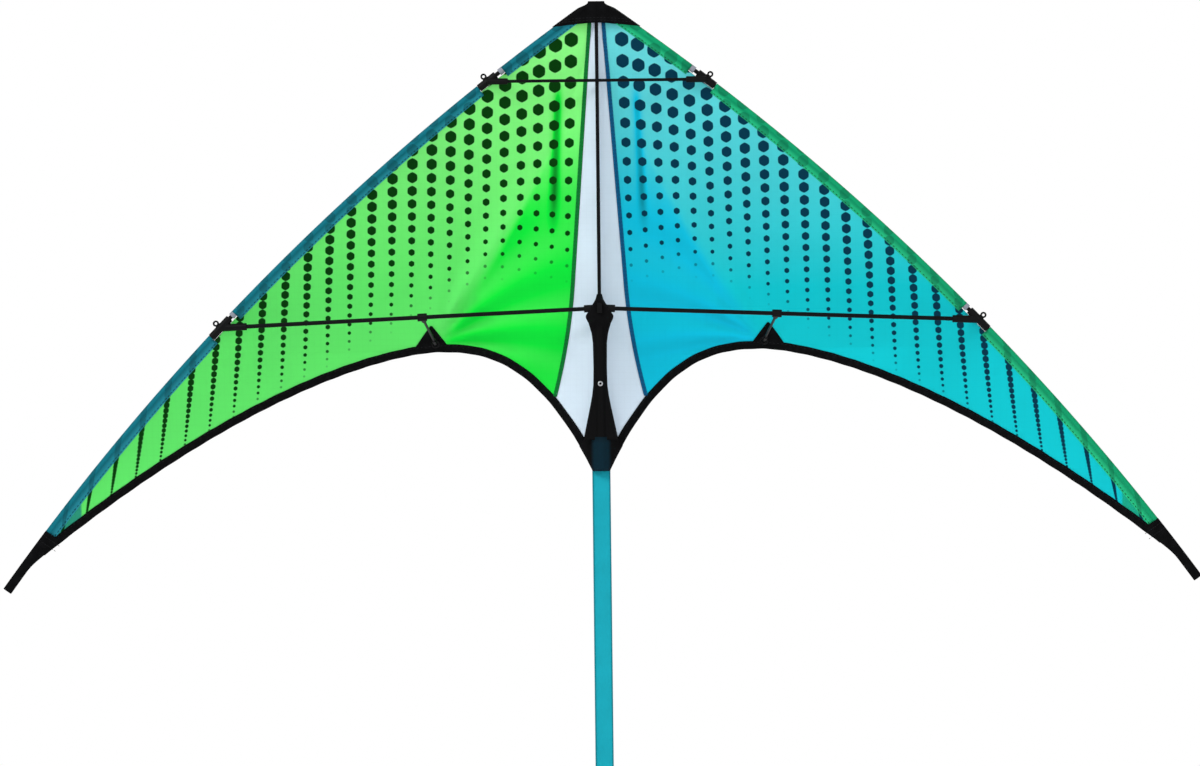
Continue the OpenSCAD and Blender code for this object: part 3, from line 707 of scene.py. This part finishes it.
class KITE_OT_materials(bpy.types.Operator):
    """Make the kite's materials"""

    bl_idname = "kite.materials"
    bl_label = "Materials"

    def execute(self, context):
        plan, c = kite_plan(), palette()
        printed_sail("printed ripstop, green", plan, c.green, c.green_painted_shade, c.green_print,
                     linear("#1E9C92"))
        printed_sail("printed ripstop, blue", plan, c.blue, c.blue_painted_shade, c.blue_print,
                     linear("#22B48C"))
        plain_cloth("plain ripstop, white", tuple(c.white), glow=0.4, cloudy=0.05)
        sleeve_cloth("sleeve cloth, teal", plan, tuple(c.teal))
        sleeve_cloth("sleeve cloth, green", plan, tuple(c.sea))
        plain_cloth("seam cloth, green", tuple(c.seam_green), glow=0.15)
        plain_cloth("seam cloth, blue", tuple(c.seam_blue), glow=0.15)
        webbing("woven webbing, black", tuple(c.black))
        webbing("binding tape, black", tuple(c.black), thread=1.0, strength=0.6)
        plain_cloth("coated cover cloth, black", tuple(c.black), glow=0.02, cloudy=0.25, roughness=0.7)
        tail_patch_cloth("thin patch cloth, black", tuple(c.black), linear("#03202C"))
        moulded("moulded vinyl rubber, black", linear("#09090A"))
        moulded("dipped vinyl, black", linear("#0D0D0E"), roughness=0.4)
        moulded("milky vinyl", linear("#80848E"), roughness=0.35)
        webbing("elastic tape, black", linear("#131316"), thread=1.2)
        moulded("sewing thread, black", linear("#17171A"), roughness=0.6)
        moulded("sewing thread, green", linear("#0C8A3C"), roughness=0.6)
        moulded("sewing thread, blue", linear("#0E6FA0"), roughness=0.6)
        hemmed_ribbon("hemmed polyester ribbon", tuple(c.ribbon))
        pultruded_rod("pultruded fibre rod")
        plated_eyelet("nickel-plated eyelet")
        return {"FINISHED"}


def finish_of(name):
    return bpy.data.materials[name]


class KITE_OT_rods(bpy.types.Operator):
    """Give the straight rods their finish and bend the leading-edge spars"""

    bl_idname = "kite.rods"
    bl_label = "Rods and spars"

    def execute(self, context):
        rod = finish_of("pultruded fibre rod")
        for node in ("spine", "upper_spreader", "lower_spreader_left", "lower_spreader_right",
                     "standoff_left", "standoff_right"):
            dress_cad(node, rod)
        plan = kite_plan()
        radius = plan.shape.rod_radius
        start, end = plan.lead_angle(0.005), plan.lead_angle(plan.tip_drop - 0.008)
        for name, side in SIDES:
            mesh = bmesh.new()
            points = [plan.on_lead(start, 0.0025 - radius * math.cos(a), radius * math.sin(a))
                      for a in (2 * math.pi * i / 20 for i in range(20))]
            profile = ring_profile(mesh, points)
            bmesh.ops.spin(mesh, geom=profile, cent=(plan.arc_x, 0, -plan.arc_drop), axis=(0, 1, 0),
                           angle=start - end, steps=220)
            bmesh.ops.holes_fill(mesh, edges=[e for e in mesh.edges if e.is_boundary], sides=0)
            bmesh.ops.recalc_face_normals(mesh, faces=mesh.faces)
            finish_piece(f"spar_{name}", mirror_to(mesh, side), rod, "kite_frame", "carbon_rod",
                         (f"leading_edge_spar_{name}",))
        return {"FINISHED"}


class KITE_OT_fittings(bpy.types.Operator):
    """Mould the connectors, the centre T, the clips, the feet and the end caps"""

    bl_idname = "kite.fittings"
    bl_label = "Fittings"

    def execute(self, context):
        rubber, vinyl = finish_of("moulded vinyl rubber, black"), finish_of("dipped vinyl, black")
        for node in ("centre_t", "upper_connector_left", "upper_connector_right",
                     "lower_connector_left", "lower_connector_right"):
            moulded_copy(node, rubber, "kite_frame", "rubber_fitting")
        for name, _ in SIDES:
            body = f"standoff_{name}_body"
            moulded_copy(f"standoff_clip_{name}", rubber, body, "rubber_fitting", 0.00022)
            moulded_copy(f"standoff_foot_{name}", vinyl, body, "rod_cap", 0.0002)
            dress_cad(f"spar_end_cap_{name}", vinyl)
        dress_cad("spine_end_cap", vinyl)
        dress_cad("stopper_rings", finish_of("milky vinyl"))
        return {"FINISHED"}


class KITE_OT_wings(bpy.types.Operator):
    """Lay out the two printed wing panels"""

    bl_idname = "kite.wings"
    bl_label = "Wing panels"

    def execute(self, context):
        plan = kite_plan()
        columns, seam_columns, rows = 230, 90, 84
        under_binding, under_sleeve = 0.0030, 0.0058
        first, last = 0.016, plan.lead_x(0.442) - 0.004
        corner = plan.panel_half(plan.seam_end) + 0.0032

        def inner(i):
            if i <= seam_columns:
                drop = mix(first, plan.seam_end, i / seam_columns)
                return plan.panel_half(drop), drop
            share = (i - seam_columns) / (columns - seam_columns)
            return plan.trail_point(mix(corner, last, share), under_binding)

        def outer(i):
            x = mix(plan.lead_x(first) - 0.004, last + 0.006, (i / columns) ** 1.15)
            return x, plan.lead_drop(x, under_sleeve)

        colours = {"left": "printed ripstop, green", "right": "printed ripstop, blue"}
        slots = {"left": "sail_green", "right": "sail_blue"}
        for name, side in SIDES:
            def spot(u, v):
                (xa, da), (xb, db) = inner(u * columns), outer(u * columns)
                return mix(xa, xb, v), mix(da, db, v)

            def place(u, v):
                x, drop = spot(u, v)
                return plan.on_sail(side * x, drop)

            # painted shade: deep inside the ridge, where the sail turns away from the light; painted light and
            # shade along the fan of creases; and the darkest painted shade in the soft fold, more on the green
            # wing
            def tone(u, v):
                x, drop = spot(u, v)
                p = plan.across(x, drop)
                deep = smooth((1.05 - p) / 0.14) * smooth((drop - 0.085) / 0.11)
                fold = plan.pleat(x, drop) * (1.7 if side < 0 else 1.35)
                return deep * (0.92 - 0.45 * plan.rays(side * x, drop)) + fold

            mesh = grid_mesh(columns, rows, place, tone)
            panel = finish_piece(f"wing_panel_{name}", mesh, finish_of(colours[name]),
                                 "kite_frame", slots[name], (f"sail_{name}",))
            solidify(panel, 0.00025)
            cut_cloth("wing_panel")
        return {"FINISHED"}


class KITE_OT_centre(bpy.types.Operator):
    """Lay out the white centre panel and its seams"""

    bl_idname = "kite.centre"
    bl_label = "Centre panel"

    def execute(self, context):
        plan = kite_plan()
        top, bottom = 0.014, plan.keel - 0.004

        def half(drop):
            if drop < plan.scallop_drop + 0.012:
                return plan.panel_half(drop)
            room = 0.003 * math.sqrt(1 + 1 / plan.trail_slope(plan.trail_x(drop)) ** 2)
            return max(min(plan.panel_half(drop), plan.trail_x(drop) - room), 0.001)

        def place(u, v):
            drop = mix(top, bottom, v)
            return plan.on_sail((2 * u - 1) * half(drop), drop)

        mesh = grid_mesh(26, 190, place)
        panel = finish_piece("centre_panel_cloth", mesh, finish_of("plain ripstop, white"),
                             "kite_frame", "sail_white", ("centre_panel",))
        solidify(panel, 0.00025)
        for name, side in SIDES:
            cloth = "green" if side < 0 else "blue"

            for face, lift in (("front", 0.0005), ("back", -0.0005)):
                def band(u, v):
                    drop = mix(0.017, plan.seam_end + 0.001, v)
                    x = plan.panel_half(drop) + mix(-0.0016, 0.0016, u)
                    return plan.on_sail(side * x, drop, lift)

                strip = finish_piece(f"panel_seam_{face}_{name}", grid_mesh(4, 150, band),
                                     finish_of(f"seam cloth, {cloth}"), "kite_frame", f"sail_{cloth}")
                solidify(strip, 0.0003)
            thread = bmesh.new()
            for offset in (-0.0010, 0.0010):
                def row(t):
                    drop = mix(0.020, plan.seam_end - 0.001, t)
                    return plan.on_sail(side * (plan.panel_half(drop) + offset), drop, 0.0006)
                stitch_row(thread, along(row), 0.0032)
            sew(f"seam_stitches_{name}", thread, f"sail_{cloth}", cloth)
        cut_cloth("centre_panel")
        return {"FINISHED"}


class KITE_OT_sleeves(bpy.types.Operator):
    """Sew the leading-edge sleeves, open at the connectors"""

    bl_idname = "kite.sleeves"
    bl_label = "Leading-edge sleeves"

    def execute(self, context):
        plan = kite_plan()
        runs = ((0.012, 0.0560), (0.0717, 0.2570), (0.2771, plan.tip_drop - 0.0465))
        width, tube, centre = plan.sleeve, 0.0027, 0.0025
        # the cloth wraps the rod, then lies flat as two layers round the sail's edge
        turns = [math.radians(a) for a in range(-132, 133, 22)]
        wrap = [(centre - tube * math.cos(a), tube * math.sin(a)) for a in turns]
        flat = [(width - 0.0022, 0.00062), (width, 0.0005), (width, -0.0005),
                (width - 0.0022, -0.00062)]
        outline = wrap + flat
        colours = {"left": "sleeve cloth, teal", "right": "sleeve cloth, green"}
        slots = {"left": "sleeve_teal", "right": "sleeve_green"}
        for name, side in SIDES:
            sleeve = bmesh.new()
            thread = bmesh.new()
            for top, bottom in runs:
                part = bmesh.new()
                start, end = plan.lead_angle(top, centre), plan.lead_angle(bottom, centre)
                profile = ring_profile(part, [plan.on_lead(start, inset, y) for inset, y in outline])
                steps = max(12, round((start - end) * plan.radius / 0.0025))
                bmesh.ops.spin(part, geom=profile, cent=(plan.arc_x, 0, -plan.arc_drop),
                               axis=(0, 1, 0), angle=start - end, steps=steps)
                bmesh.ops.recalc_face_normals(part, faces=part.faces)
                keep = bpy.data.meshes.new("sleeve run")
                part.to_mesh(keep)
                part.free()
                sleeve.from_mesh(keep)
                bpy.data.meshes.remove(keep)

                def row(t):
                    spot = plan.on_lead(mix(start, end, 0.01 + 0.98 * t), width - 0.0011, -0.0009)
                    return spot + Vector((0, plan.cloth_y(side * spot.x, -spot.z), 0))
                stitch_row(thread, along(row), 0.0034)
            layer = sleeve.verts.layers.float.new("tone")
            for vertex in sleeve.verts:
                reach = math.hypot(vertex.co.x - plan.arc_x, vertex.co.z + plan.arc_drop)
                inset = plan.radius - reach
                pucker = noise.noise(vertex.co * 110) * 0.00022 * smooth((inset - 0.003) / 0.003)
                onto_sail = smooth((inset - 0.003) / 0.004) * plan.cloth_y(side * vertex.co.x, -vertex.co.z)
                vertex.co.y += pucker + onto_sail
                vertex[layer] = 1 - smooth((inset - 0.0042) / 0.0045)
            material = finish_of(colours[name])
            piece = finish_piece(f"sleeve_{name}", mirror_to(sleeve, side), material,
                                 "kite_frame", slots[name], (f"leading_edge_sleeve_{name}",))
            solidify(piece, 0.00022, -1.0)
            cut_cloth("sleeve")
            sew(f"sleeve_stitches_{name}", mirror_to(thread, side), slots[name])
        return {"FINISHED"}


class KITE_OT_edges(bpy.types.Operator):
    """Bind the trailing edges and cap the wing tips with webbing"""

    bl_idname = "kite.edges"
    bl_label = "Bindings and tips"

    def execute(self, context):
        plan = kite_plan()
        width = plan.binding
        fold = ((width, 0.00045), (width * 0.7, 0.0006), (width * 0.25, 0.00062), (0.0006, 0.0005),
                (0.0, 0.0), (0.0006, -0.0005), (width * 0.25, -0.00062), (width * 0.7, -0.0006),
                (width, -0.00045))
        start, end = 0.007, plan.lead_x(0.447) - 0.006
        for name, side in SIDES:
            def place(u, v):
                x = mix(start, end, v ** 1.3)
                inset, lift = fold[round(u * (len(fold) - 1))]
                wave = 0.00012 * math.sin(x * 2 * math.pi / 0.019)
                px, drop = plan.trail_point(x, inset + wave)
                return plan.on_sail(side * max(px, 0.0004), drop, lift)

            tape = finish_piece(f"binding_{name}", grid_mesh(len(fold) - 1, 360, place),
                                finish_of("binding tape, black"), "kite_frame", "binding_tape",
                                (f"trailing_edge_binding_{name}",))
            solidify(tape, 0.0003)
            cut_cloth("binding")
            thread = bmesh.new()

            def row(t):
                px, drop = plan.trail_point(mix(0.017, end, t ** 1.2), width - 0.0012)
                return plan.on_sail(side * px, drop, 0.0008)
            stitch_row(thread, along(row), 0.0034)
            sew(f"binding_stitches_{name}", thread, "binding_tape")
            self.tip(plan, name, side)
        return {"FINISHED"}

    def tip(self, plan, name, side):
        """Webbing folded round the spar's end, tapering to a square-cut end."""
        top, bottom = plan.lead_angle(0.4365), plan.lead_angle(plan.tip_drop - 0.0003)
        ring, stations = 28, 46

        def place(u, v):
            turn = 2 * math.pi * u
            width = 0.0078 + 0.0062 * (1 - smooth(v / 0.62))
            s = width / 2 * (1 - math.cos(turn))
            thick = mix(0.0034, 0.0012, smooth((s - 0.0035) / 0.006))
            thick *= 1 - 0.25 * smooth((v - 0.93) / 0.07)
            lift = math.copysign(abs(math.sin(turn)) ** 0.55, math.sin(turn)) * thick
            spot = plan.on_lead(mix(top, bottom, v), s - 0.0004, lift)
            return Vector((side * spot.x, spot.y + plan.sail_y(spot.x, -spot.z) * smooth((s - 0.004) / 0.01)
                           * (1 - smooth(v / 0.5)), spot.z))

        mesh = grid_mesh(ring, stations, place, weld=True)
        rims = [e for e in mesh.edges if e.is_boundary]
        bmesh.ops.holes_fill(mesh, edges=rims, sides=0)
        bmesh.ops.recalc_face_normals(mesh, faces=mesh.faces)
        sharp = [e for e in mesh.edges
                 if len(e.link_faces) == 2 and any(len(f.verts) > 4 for f in e.link_faces)]
        bmesh.ops.bevel(mesh, geom=sharp, offset=0.00035, offset_type="OFFSET", segments=2,
                        profile=0.5, material=-1, affect="EDGES")
        tip = finish_piece(f"tip_webbing_{name}", mesh, finish_of("woven webbing, black"),
                           "kite_frame", "webbing", (f"tip_sleeve_{name}",))
        solidify(tip, 0.0005, -1.0)
        cut_cloth("tip_webbing")
        thread = bmesh.new()
        for share in (0.07, 0.16):
            def row(t):
                angle = mix(top, bottom, share)
                spot = plan.on_lead(angle, mix(0.001, 0.0155, t), 0)
                lift = mix(-0.0035, -0.0015, smooth((t * 0.015 - 0.0035) / 0.006))
                back = plan.sail_y(spot.x, -spot.z) * smooth((t * 0.0145 - 0.003) / 0.01) * 0.9
                return Vector((side * spot.x, lift + back, spot.z))
            stitch_row(thread, along(row), 0.0026)
        sew(f"tip_stitches_{name}", thread, "webbing")


class KITE_OT_patches(bpy.types.Operator):
    """Sew on the nose, stand-off, centre and tail patches"""

    bl_idname = "kite.patches"
    bl_label = "Patches and covers"

    def execute(self, context):
        plan = kite_plan()
        self.nose(plan)
        self.standoff_patches(plan)
        self.centre(plan)
        self.tail(plan)
        return {"FINISHED"}

    def nose(self, plan):
        """Webbing folded over the nose, with the three rods standing proud under it."""
        depth, fold = 0.0184, 0.0034

        def place(u, v):
            t = 2 * u - 1
            down = abs(2 * v - 1)
            low = depth + 0.0018 * t * t - 0.0008 * math.cos(t * math.pi)
            drop = low * down ** 1.2
            half = mix(0.0066, plan.lead_x(drop) + 0.0011, smooth(drop / 0.006))
            x = t * half
            thick = plan.over_rods(x, max(drop, 0.004)) * math.sqrt(min(drop / fold, 1))
            thick *= (1 - abs(t) ** 10) ** 0.5
            return Vector((x, math.copysign(thick, v - 0.5), -drop))

        cap = finish_piece("nose_webbing", grid_mesh(60, 60, place), finish_of("woven webbing, black"),
                           "kite_frame", "webbing", ("nose_patch",))
        solidify(cap, 0.0005)
        cut_cloth("nose_webbing")
        thread = bmesh.new()
        for up in (0.0025, 0.0048):
            def row(t):
                s = mix(-0.93, 0.93, t)
                drop = depth - up + 0.0018 * s * s
                x = s * plan.lead_x(drop)
                return Vector((x, -plan.over_rods(x, drop) - 0.0003, -drop))
            stitch_row(thread, along(row), 0.003)
        sew("nose_stitches", thread, "webbing")

    def standoff_patches(self, plan):
        apex_drop = plan.scallop_drop - plan.binding - 0.0165
        for name, side in SIDES:
            for face, lift in (("front", 0.0006), ("back", -0.0006)):
                def place(u, v):
                    t = mix(0.05, 1, v)
                    x = plan.scallop_x + 0.0052 + 0.0152 * t * (2 * u - 1)
                    low = plan.trail_drop(x) - plan.binding * 0.6
                    return plan.on_sail(side * x, mix(apex_drop, low, t), lift)

                patch = finish_piece(
                    f"standoff_patch_{face}_{name}", grid_mesh(22, 16, place),
                    finish_of("woven webbing, black"), "kite_frame", "webbing",
                    (f"standoff_patch_{name}",) if face == "front" else ())
                solidify(patch, 0.0004)
                cut_cloth("standoff_patch")
            self.foot_ring(plan, name, side)

    def foot_ring(self, plan, name, side):
        """A small raised ring that the stand-off's foot sits against."""
        low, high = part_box(f"standoff_foot_{name}")
        x, drop = (low[0] + high[0]) / 2 - side * 0.0008, -(low[2] + high[2]) / 2 + 0.0018
        seat = plan.on_sail(x, drop, 0.0012)
        up = (plan.on_sail(x, drop, 0.004) - seat).normalized()
        profile = [Vector((0.0029 + 0.0008 * math.cos(a), 0, 0.0008 * math.sin(a)))
                   for a in (2 * math.pi * i / 12 for i in range(12))]
        mesh = turned(profile, (0, 0, 1), 32)
        turn = up.to_track_quat("Z", "Y").to_matrix().to_4x4()
        bmesh.ops.transform(mesh, matrix=Matrix.Translation(seat) @ turn, verts=mesh.verts)
        finish_piece(f"foot_ring_{name}", mesh, finish_of("dipped vinyl, black"), "kite_frame", "rod_cap")

    def centre(self, plan):
        """The black cover: pointed above the centre T, narrow at the waist, wide at the tail patch."""
        outline = ((244.5, 0.9), (251, 4.6), (258, 8.9), (262.5, 11.6), (264.5, 11.3), (268.7, 9.2), (277, 6.9),
                   (285, 5.9), (305, 5.6), (320, 5.9), (329, 7.0), (338.5, 8.8), (355, 12.3), (366, 14.6))

        def cover_half(drop):
            place = drop / MM
            for (a, low), (b, high) in zip(outline, outline[1:]):
                if place <= b:
                    return mix(low, high, max(place - a, 0) / (b - a)) * MM
            return outline[-1][1] * MM

        def front(x, drop):
            crease = 0.00015 * noise.noise(Vector((x * 300, drop * 60, 0)))
            over = smooth((drop - 0.243) / 0.007) * smooth((0.274 - drop) / 0.012)
            dome = -0.0084 * over * (1 - smooth((abs(x) - 0.004) / 0.010) * 0.35)
            return min(plan.fairing_y(x, drop), dome) + crease

        def cover(u, v):
            drop = mix(0.2445, 0.366, v)
            x = (2 * u - 1) * cover_half(drop)
            return Vector((x, front(x, drop), -drop))

        piece = finish_piece("centre_cover", grid_mesh(28, 150, cover),
                             finish_of("coated cover cloth, black"), "kite_frame", "fairing_cloth",
                             ("centre_fairing",))
        solidify(piece, 0.0004)
        cut_cloth("centre_cover")
        thread = bmesh.new()
        for side in (-1, 1):
            def row(t):
                drop = mix(0.249, 0.363, t)
                x = side * (cover_half(drop) - 0.0011)
                return Vector((x, front(x, drop) - 0.0004, -drop))
            stitch_row(thread, along(row), 0.0032)
        sew("cover_stitches", thread, "fairing_cloth")
        self.eyelet()

    def eyelet(self):
        low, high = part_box("fairing_eyelet")
        outline = ((0.0010, 0.0), (0.0011, -0.0005), (0.0015, -0.0008), (0.0020, -0.0005),
                   (0.0022, 0.0), (0.0020, 0.0002), (0.0012, 0.0002))
        mesh = turned([Vector((r, y, 0)) for r, y in outline], (0, 1, 0), 40)
        middle = Vector(((low[0] + high[0]) / 2, -0.0027, (low[2] + high[2]) / 2))
        bmesh.ops.translate(mesh, vec=middle, verts=mesh.verts)
        finish_piece("cover_eyelet", mesh, finish_of("nickel-plated eyelet"), "kite_frame",
                     "eyelet_metal", ("fairing_eyelet",))

    def tail(self, plan):
        """Black cloth over the spine's foot; the joined bindings run into it."""
        top = 0.3635

        def half(drop):
            if drop < 0.371:
                return mix(0.0133, plan.trail_x(0.371) + 0.0006, (drop - top) / (0.371 - top))
            return max(plan.trail_x(drop) + 0.0006, 0.0056)

        for face in ("front", "back"):
            def place(u, v):
                drop = mix(top, plan.keel, v)
                x = (2 * u - 1) * half(drop)
                back = plan.sail_y(x, drop) + 0.0012
                front = plan.fairing_y(x, drop) - 0.0004
                close = smooth((v - 0.93) / 0.07) * 0.6
                middle = (front + back) / 2
                y = front if face == "front" else back
                return Vector((x, mix(y, middle, close), -drop))

            patch = finish_piece(
                f"tail_patch_{face}", grid_mesh(26, 44, place), finish_of("thin patch cloth, black"),
                "kite_frame", "fairing_cloth", ("tail_patch",) if face == "front" else ())
            solidify(patch, 0.0004)
            cut_cloth(f"tail_patch_{face}")
        thread = bmesh.new()
        for side in (-1, 1):
            def row(t):
                drop = mix(0.372, plan.keel - 0.002, t)
                x = side * (half(drop) - 0.0014)
                return Vector((x, plan.fairing_y(x, drop) - 0.0008, -drop))
            stitch_row(thread, along(row), 0.003)
        sew("tail_patch_stitches", thread, "fairing_cloth")


class KITE_OT_tail(bpy.types.Operator):
    """Hang the ribbon tail, with its spare length rolled up and tied"""

    bl_idname = "kite.tail"
    bl_label = "Ribbon tail"

    def execute(self, context):
        plan = kite_plan()
        shape = plan.shape
        anchor_low, anchor_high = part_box("tail_anchor")
        plane = (anchor_low[1] + anchor_high[1]) / 2
        lean = math.asin(shape.roll_radius / shape.tail_hang)
        free = math.sqrt(shape.tail_hang ** 2 - shape.roll_radius ** 2)
        middle = Vector((0, plane, -plan.keel - shape.tail_hang))
        pitch, inner, per_turn = 0.001, 0.0082, 44
        turns = (shape.roll_radius - 0.0005 - inner) / pitch
        route = [Vector((0, plane, mix(anchor_high[2] + 0.006, -plan.keel, i / 12))) for i in range(12)]
        hinge = Vector((0, plane, -plan.keel))
        heading = Vector((0, -math.sin(lean), -math.cos(lean)))
        route += [hinge + heading * free * i / 90 for i in range(90)]
        steps = round(turns * per_turn)
        for i in range(steps + 1):
            turn = i / per_turn
            angle = math.pi - lean + 2 * math.pi * turn
            reach = shape.roll_radius - pitch * turn
            route.append(middle + Vector((0, math.cos(angle), math.sin(angle))) * reach)
        travelled = [0.0]
        for a, b in zip(route, route[1:]):
            travelled.append(travelled[-1] + (b - a).length)
        half = shape.tail_width / 2
        stations = len(route) - 1
        across = (-1, -0.97, -0.86, -0.84, -0.4, 0, 0.4, 0.84, 0.86, 0.97, 1)

        def place(u, v):
            i = round(v * stations)
            a, b = route[max(i - 1, 0)], route[min(i + 1, stations)]
            side = (b - a).normalized().cross(Vector((1, 0, 0)))
            share = across[round(u * (len(across) - 1))]
            hem = 0.00012 if 0.85 < abs(share) < 0.99 else 0.0
            s = travelled[i]
            sway = 0.0009 * math.sin(s * 2 * math.pi / 0.17) * smooth(s / 0.05) * smooth((0.26 - s) / 0.08)
            cup = 0.0005 * (1 - share * share) * smooth(s / 0.03) * smooth((0.30 - s) / 0.05)
            # the rolled turns are hollowed a little, so they nest and no light shows between them
            cup -= 0.0009 * (1 - share * share) * smooth((s - 0.29) / 0.05)
            return route[i] + side * (hem + sway + cup) + Vector((share * half, 0, 0))

        def tone(u, v):
            return 1.0 if abs(across[round(u * (len(across) - 1))]) > 0.85 else 0.0

        ribbon = finish_piece("tail_ribbon_cloth", grid_mesh(len(across) - 1, stations, place, tone),
                              finish_of("hemmed polyester ribbon"), None, "tail_ribbon",
                              ("tail_anchor", "tail_streamer", "tail_roll"))
        solidify(ribbon, 0.00028)
        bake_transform(ribbon)
        self.tie()
        return {"FINISHED"}

    def tie(self):
        """An elastic band through the middle of the roll and round its lower turns."""
        low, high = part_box("tail_tie")
        half_x, half_z = (high[0] - low[0]) / 2 - 0.0006, (high[2] - low[2]) / 2 - 0.0006
        centre = Vector(((low[0] + high[0]) / 2, (low[1] + high[1]) / 2, (low[2] + high[2]) / 2))
        half_width = (high[1] - low[1]) / 2

        def place(u, v):
            turn = 2 * math.pi * u
            x = math.copysign(abs(math.cos(turn)) ** 0.35, math.cos(turn)) * half_x
            z = math.copysign(abs(math.sin(turn)) ** 0.35, math.sin(turn)) * half_z
            rib = 0.0001 * math.cos(v * 6 * math.pi)
            return centre + Vector((
                x * (1 + rib / half_x), (v - 0.5) * 2 * half_width, z * (1 + rib / half_z)))

        mesh = grid_mesh(96, 12, place, weld=True)
        bmesh.ops.recalc_face_normals(mesh, faces=mesh.faces)
        band = finish_piece("tail_tie_band", mesh, finish_of("elastic tape, black"), "tail", "rod_cap",
                            ("tail_tie",))
        solidify(band, 0.0008)
        return band


class KITE_OT_stage(bpy.types.Operator):
    """Set the pale floor, the soft lights and the camera"""

    bl_idname = "kite.stage"
    bl_label = "Stage"

    def execute(self, context):
        studio = context.scene.kite_studio
        floor, reach = -0.8, 2.5
        mesh = bmesh.new()
        bmesh.ops.create_circle(mesh, cap_ends=True, segments=96, radius=reach,
                                matrix=Matrix.Translation((0, 0, floor)))
        data = bpy.data.meshes.new("floor")
        mesh.to_mesh(data)
        mesh.free()
        ground = bpy.data.objects.new("floor", data)
        context.scene.collection.objects.link(ground)
        material, tree, output = new_material("pale floor paint")
        shader = add(tree, "ShaderNodeBsdfPrincipled", {
            "Base Color": rgba(linear("#F4F4F4")), "Roughness": 0.95})
        tree.links.new(shader.outputs[0], output.inputs[0])
        data.materials.append(material)
        world = bpy.data.worlds.new("studio")
        context.scene.world = world
        world.use_nodes = True
        tree = world.node_tree
        tree.nodes.clear()
        # the soft light all round is dimmer than the plain white that the camera sees
        seen = add(tree, "ShaderNodeLightPath").outputs["Is Camera Ray"]
        strength = add(tree, "ShaderNodeMapRange", {0: seen, 3: 0.6, 4: 1.0})
        sky = add(tree, "ShaderNodeBackground", {0: (1, 1, 1, 1), 1: strength.outputs[0]})
        surface = add(tree, "ShaderNodeOutputWorld")
        tree.links.new(sky.outputs[0], surface.inputs[0])
        lights = (("key", (-1.7, -2.2, 2.2), 92, 1.4), ("fill", (2.2, -2.6, 0.2), 30, 2.4),
                  ("back", (1.5, 2.6, 1.6), 30, 2.0))
        for name, spot, power, size in lights:
            light = bpy.data.lights.new(name, "AREA")
            light.energy = power
            light.size = size
            lamp = bpy.data.objects.new(name, light)
            context.scene.collection.objects.link(lamp)
            lamp.location = spot
            lamp.rotation_euler = (Vector((0, 0, -0.3)) - Vector(spot)).to_track_quat("-Z", "Y").to_euler()
        context.scene.view_settings.view_transform = "Standard"
        camera = bpy.data.cameras.new("camera")
        camera.lens = studio.lens
        camera.sensor_width = 36
        eye = bpy.data.objects.new("camera", camera)
        context.scene.collection.objects.link(eye)
        distance = studio.view_width * studio.lens / camera.sensor_width
        eye.location = (-0.0003, -distance, -0.3185)
        eye.rotation_euler = (math.pi / 2, studio.roll, 0)
        context.scene.camera = eye
        return {"FINISHED"}


class KITE_PT_panel(bpy.types.Panel):
    """Sizes, colours and build steps of the kite"""

    bl_idname = "KITE_PT_panel"
    bl_label = "Delta kite"
    bl_space_type = "VIEW_3D"
    bl_region_type = "UI"
    bl_category = "Kite"

    def draw(self, context):
        for group in (context.scene.kite_shape, context.scene.kite_colours, context.scene.kite_studio):
            box = self.layout.box()
            for name in group.__annotations__:
                box.prop(group, name)
        for operator in OPERATORS:
            self.layout.operator(operator.bl_idname)


OPERATORS = (KITE_OT_stage, KITE_OT_materials, KITE_OT_tail, KITE_OT_rods, KITE_OT_fittings,
             KITE_OT_wings, KITE_OT_centre, KITE_OT_sleeves, KITE_OT_edges, KITE_OT_patches)
GROUPS = (("kite_shape", KiteShape), ("kite_colours", KiteColours), ("kite_studio", StudioSetup))


def register():
    for name, group in GROUPS:
        bpy.utils.register_class(group)
        setattr(bpy.types.Scene, name, bpy.props.PointerProperty(type=group))
    for part in (*OPERATORS, KITE_PT_panel):
        bpy.utils.register_class(part)


def unregister():
    for part in (KITE_PT_panel, *reversed(OPERATORS)):
        bpy.utils.unregister_class(part)
    for name, group in reversed(GROUPS):
        delattr(bpy.types.Scene, name)
        bpy.utils.unregister_class(group)


def main():
    register()
    for operator in OPERATORS:
        group, name = operator.bl_idname.split(".")
        getattr(getattr(bpy.ops, group), name)()


if __name__ == "__main__":
    main()
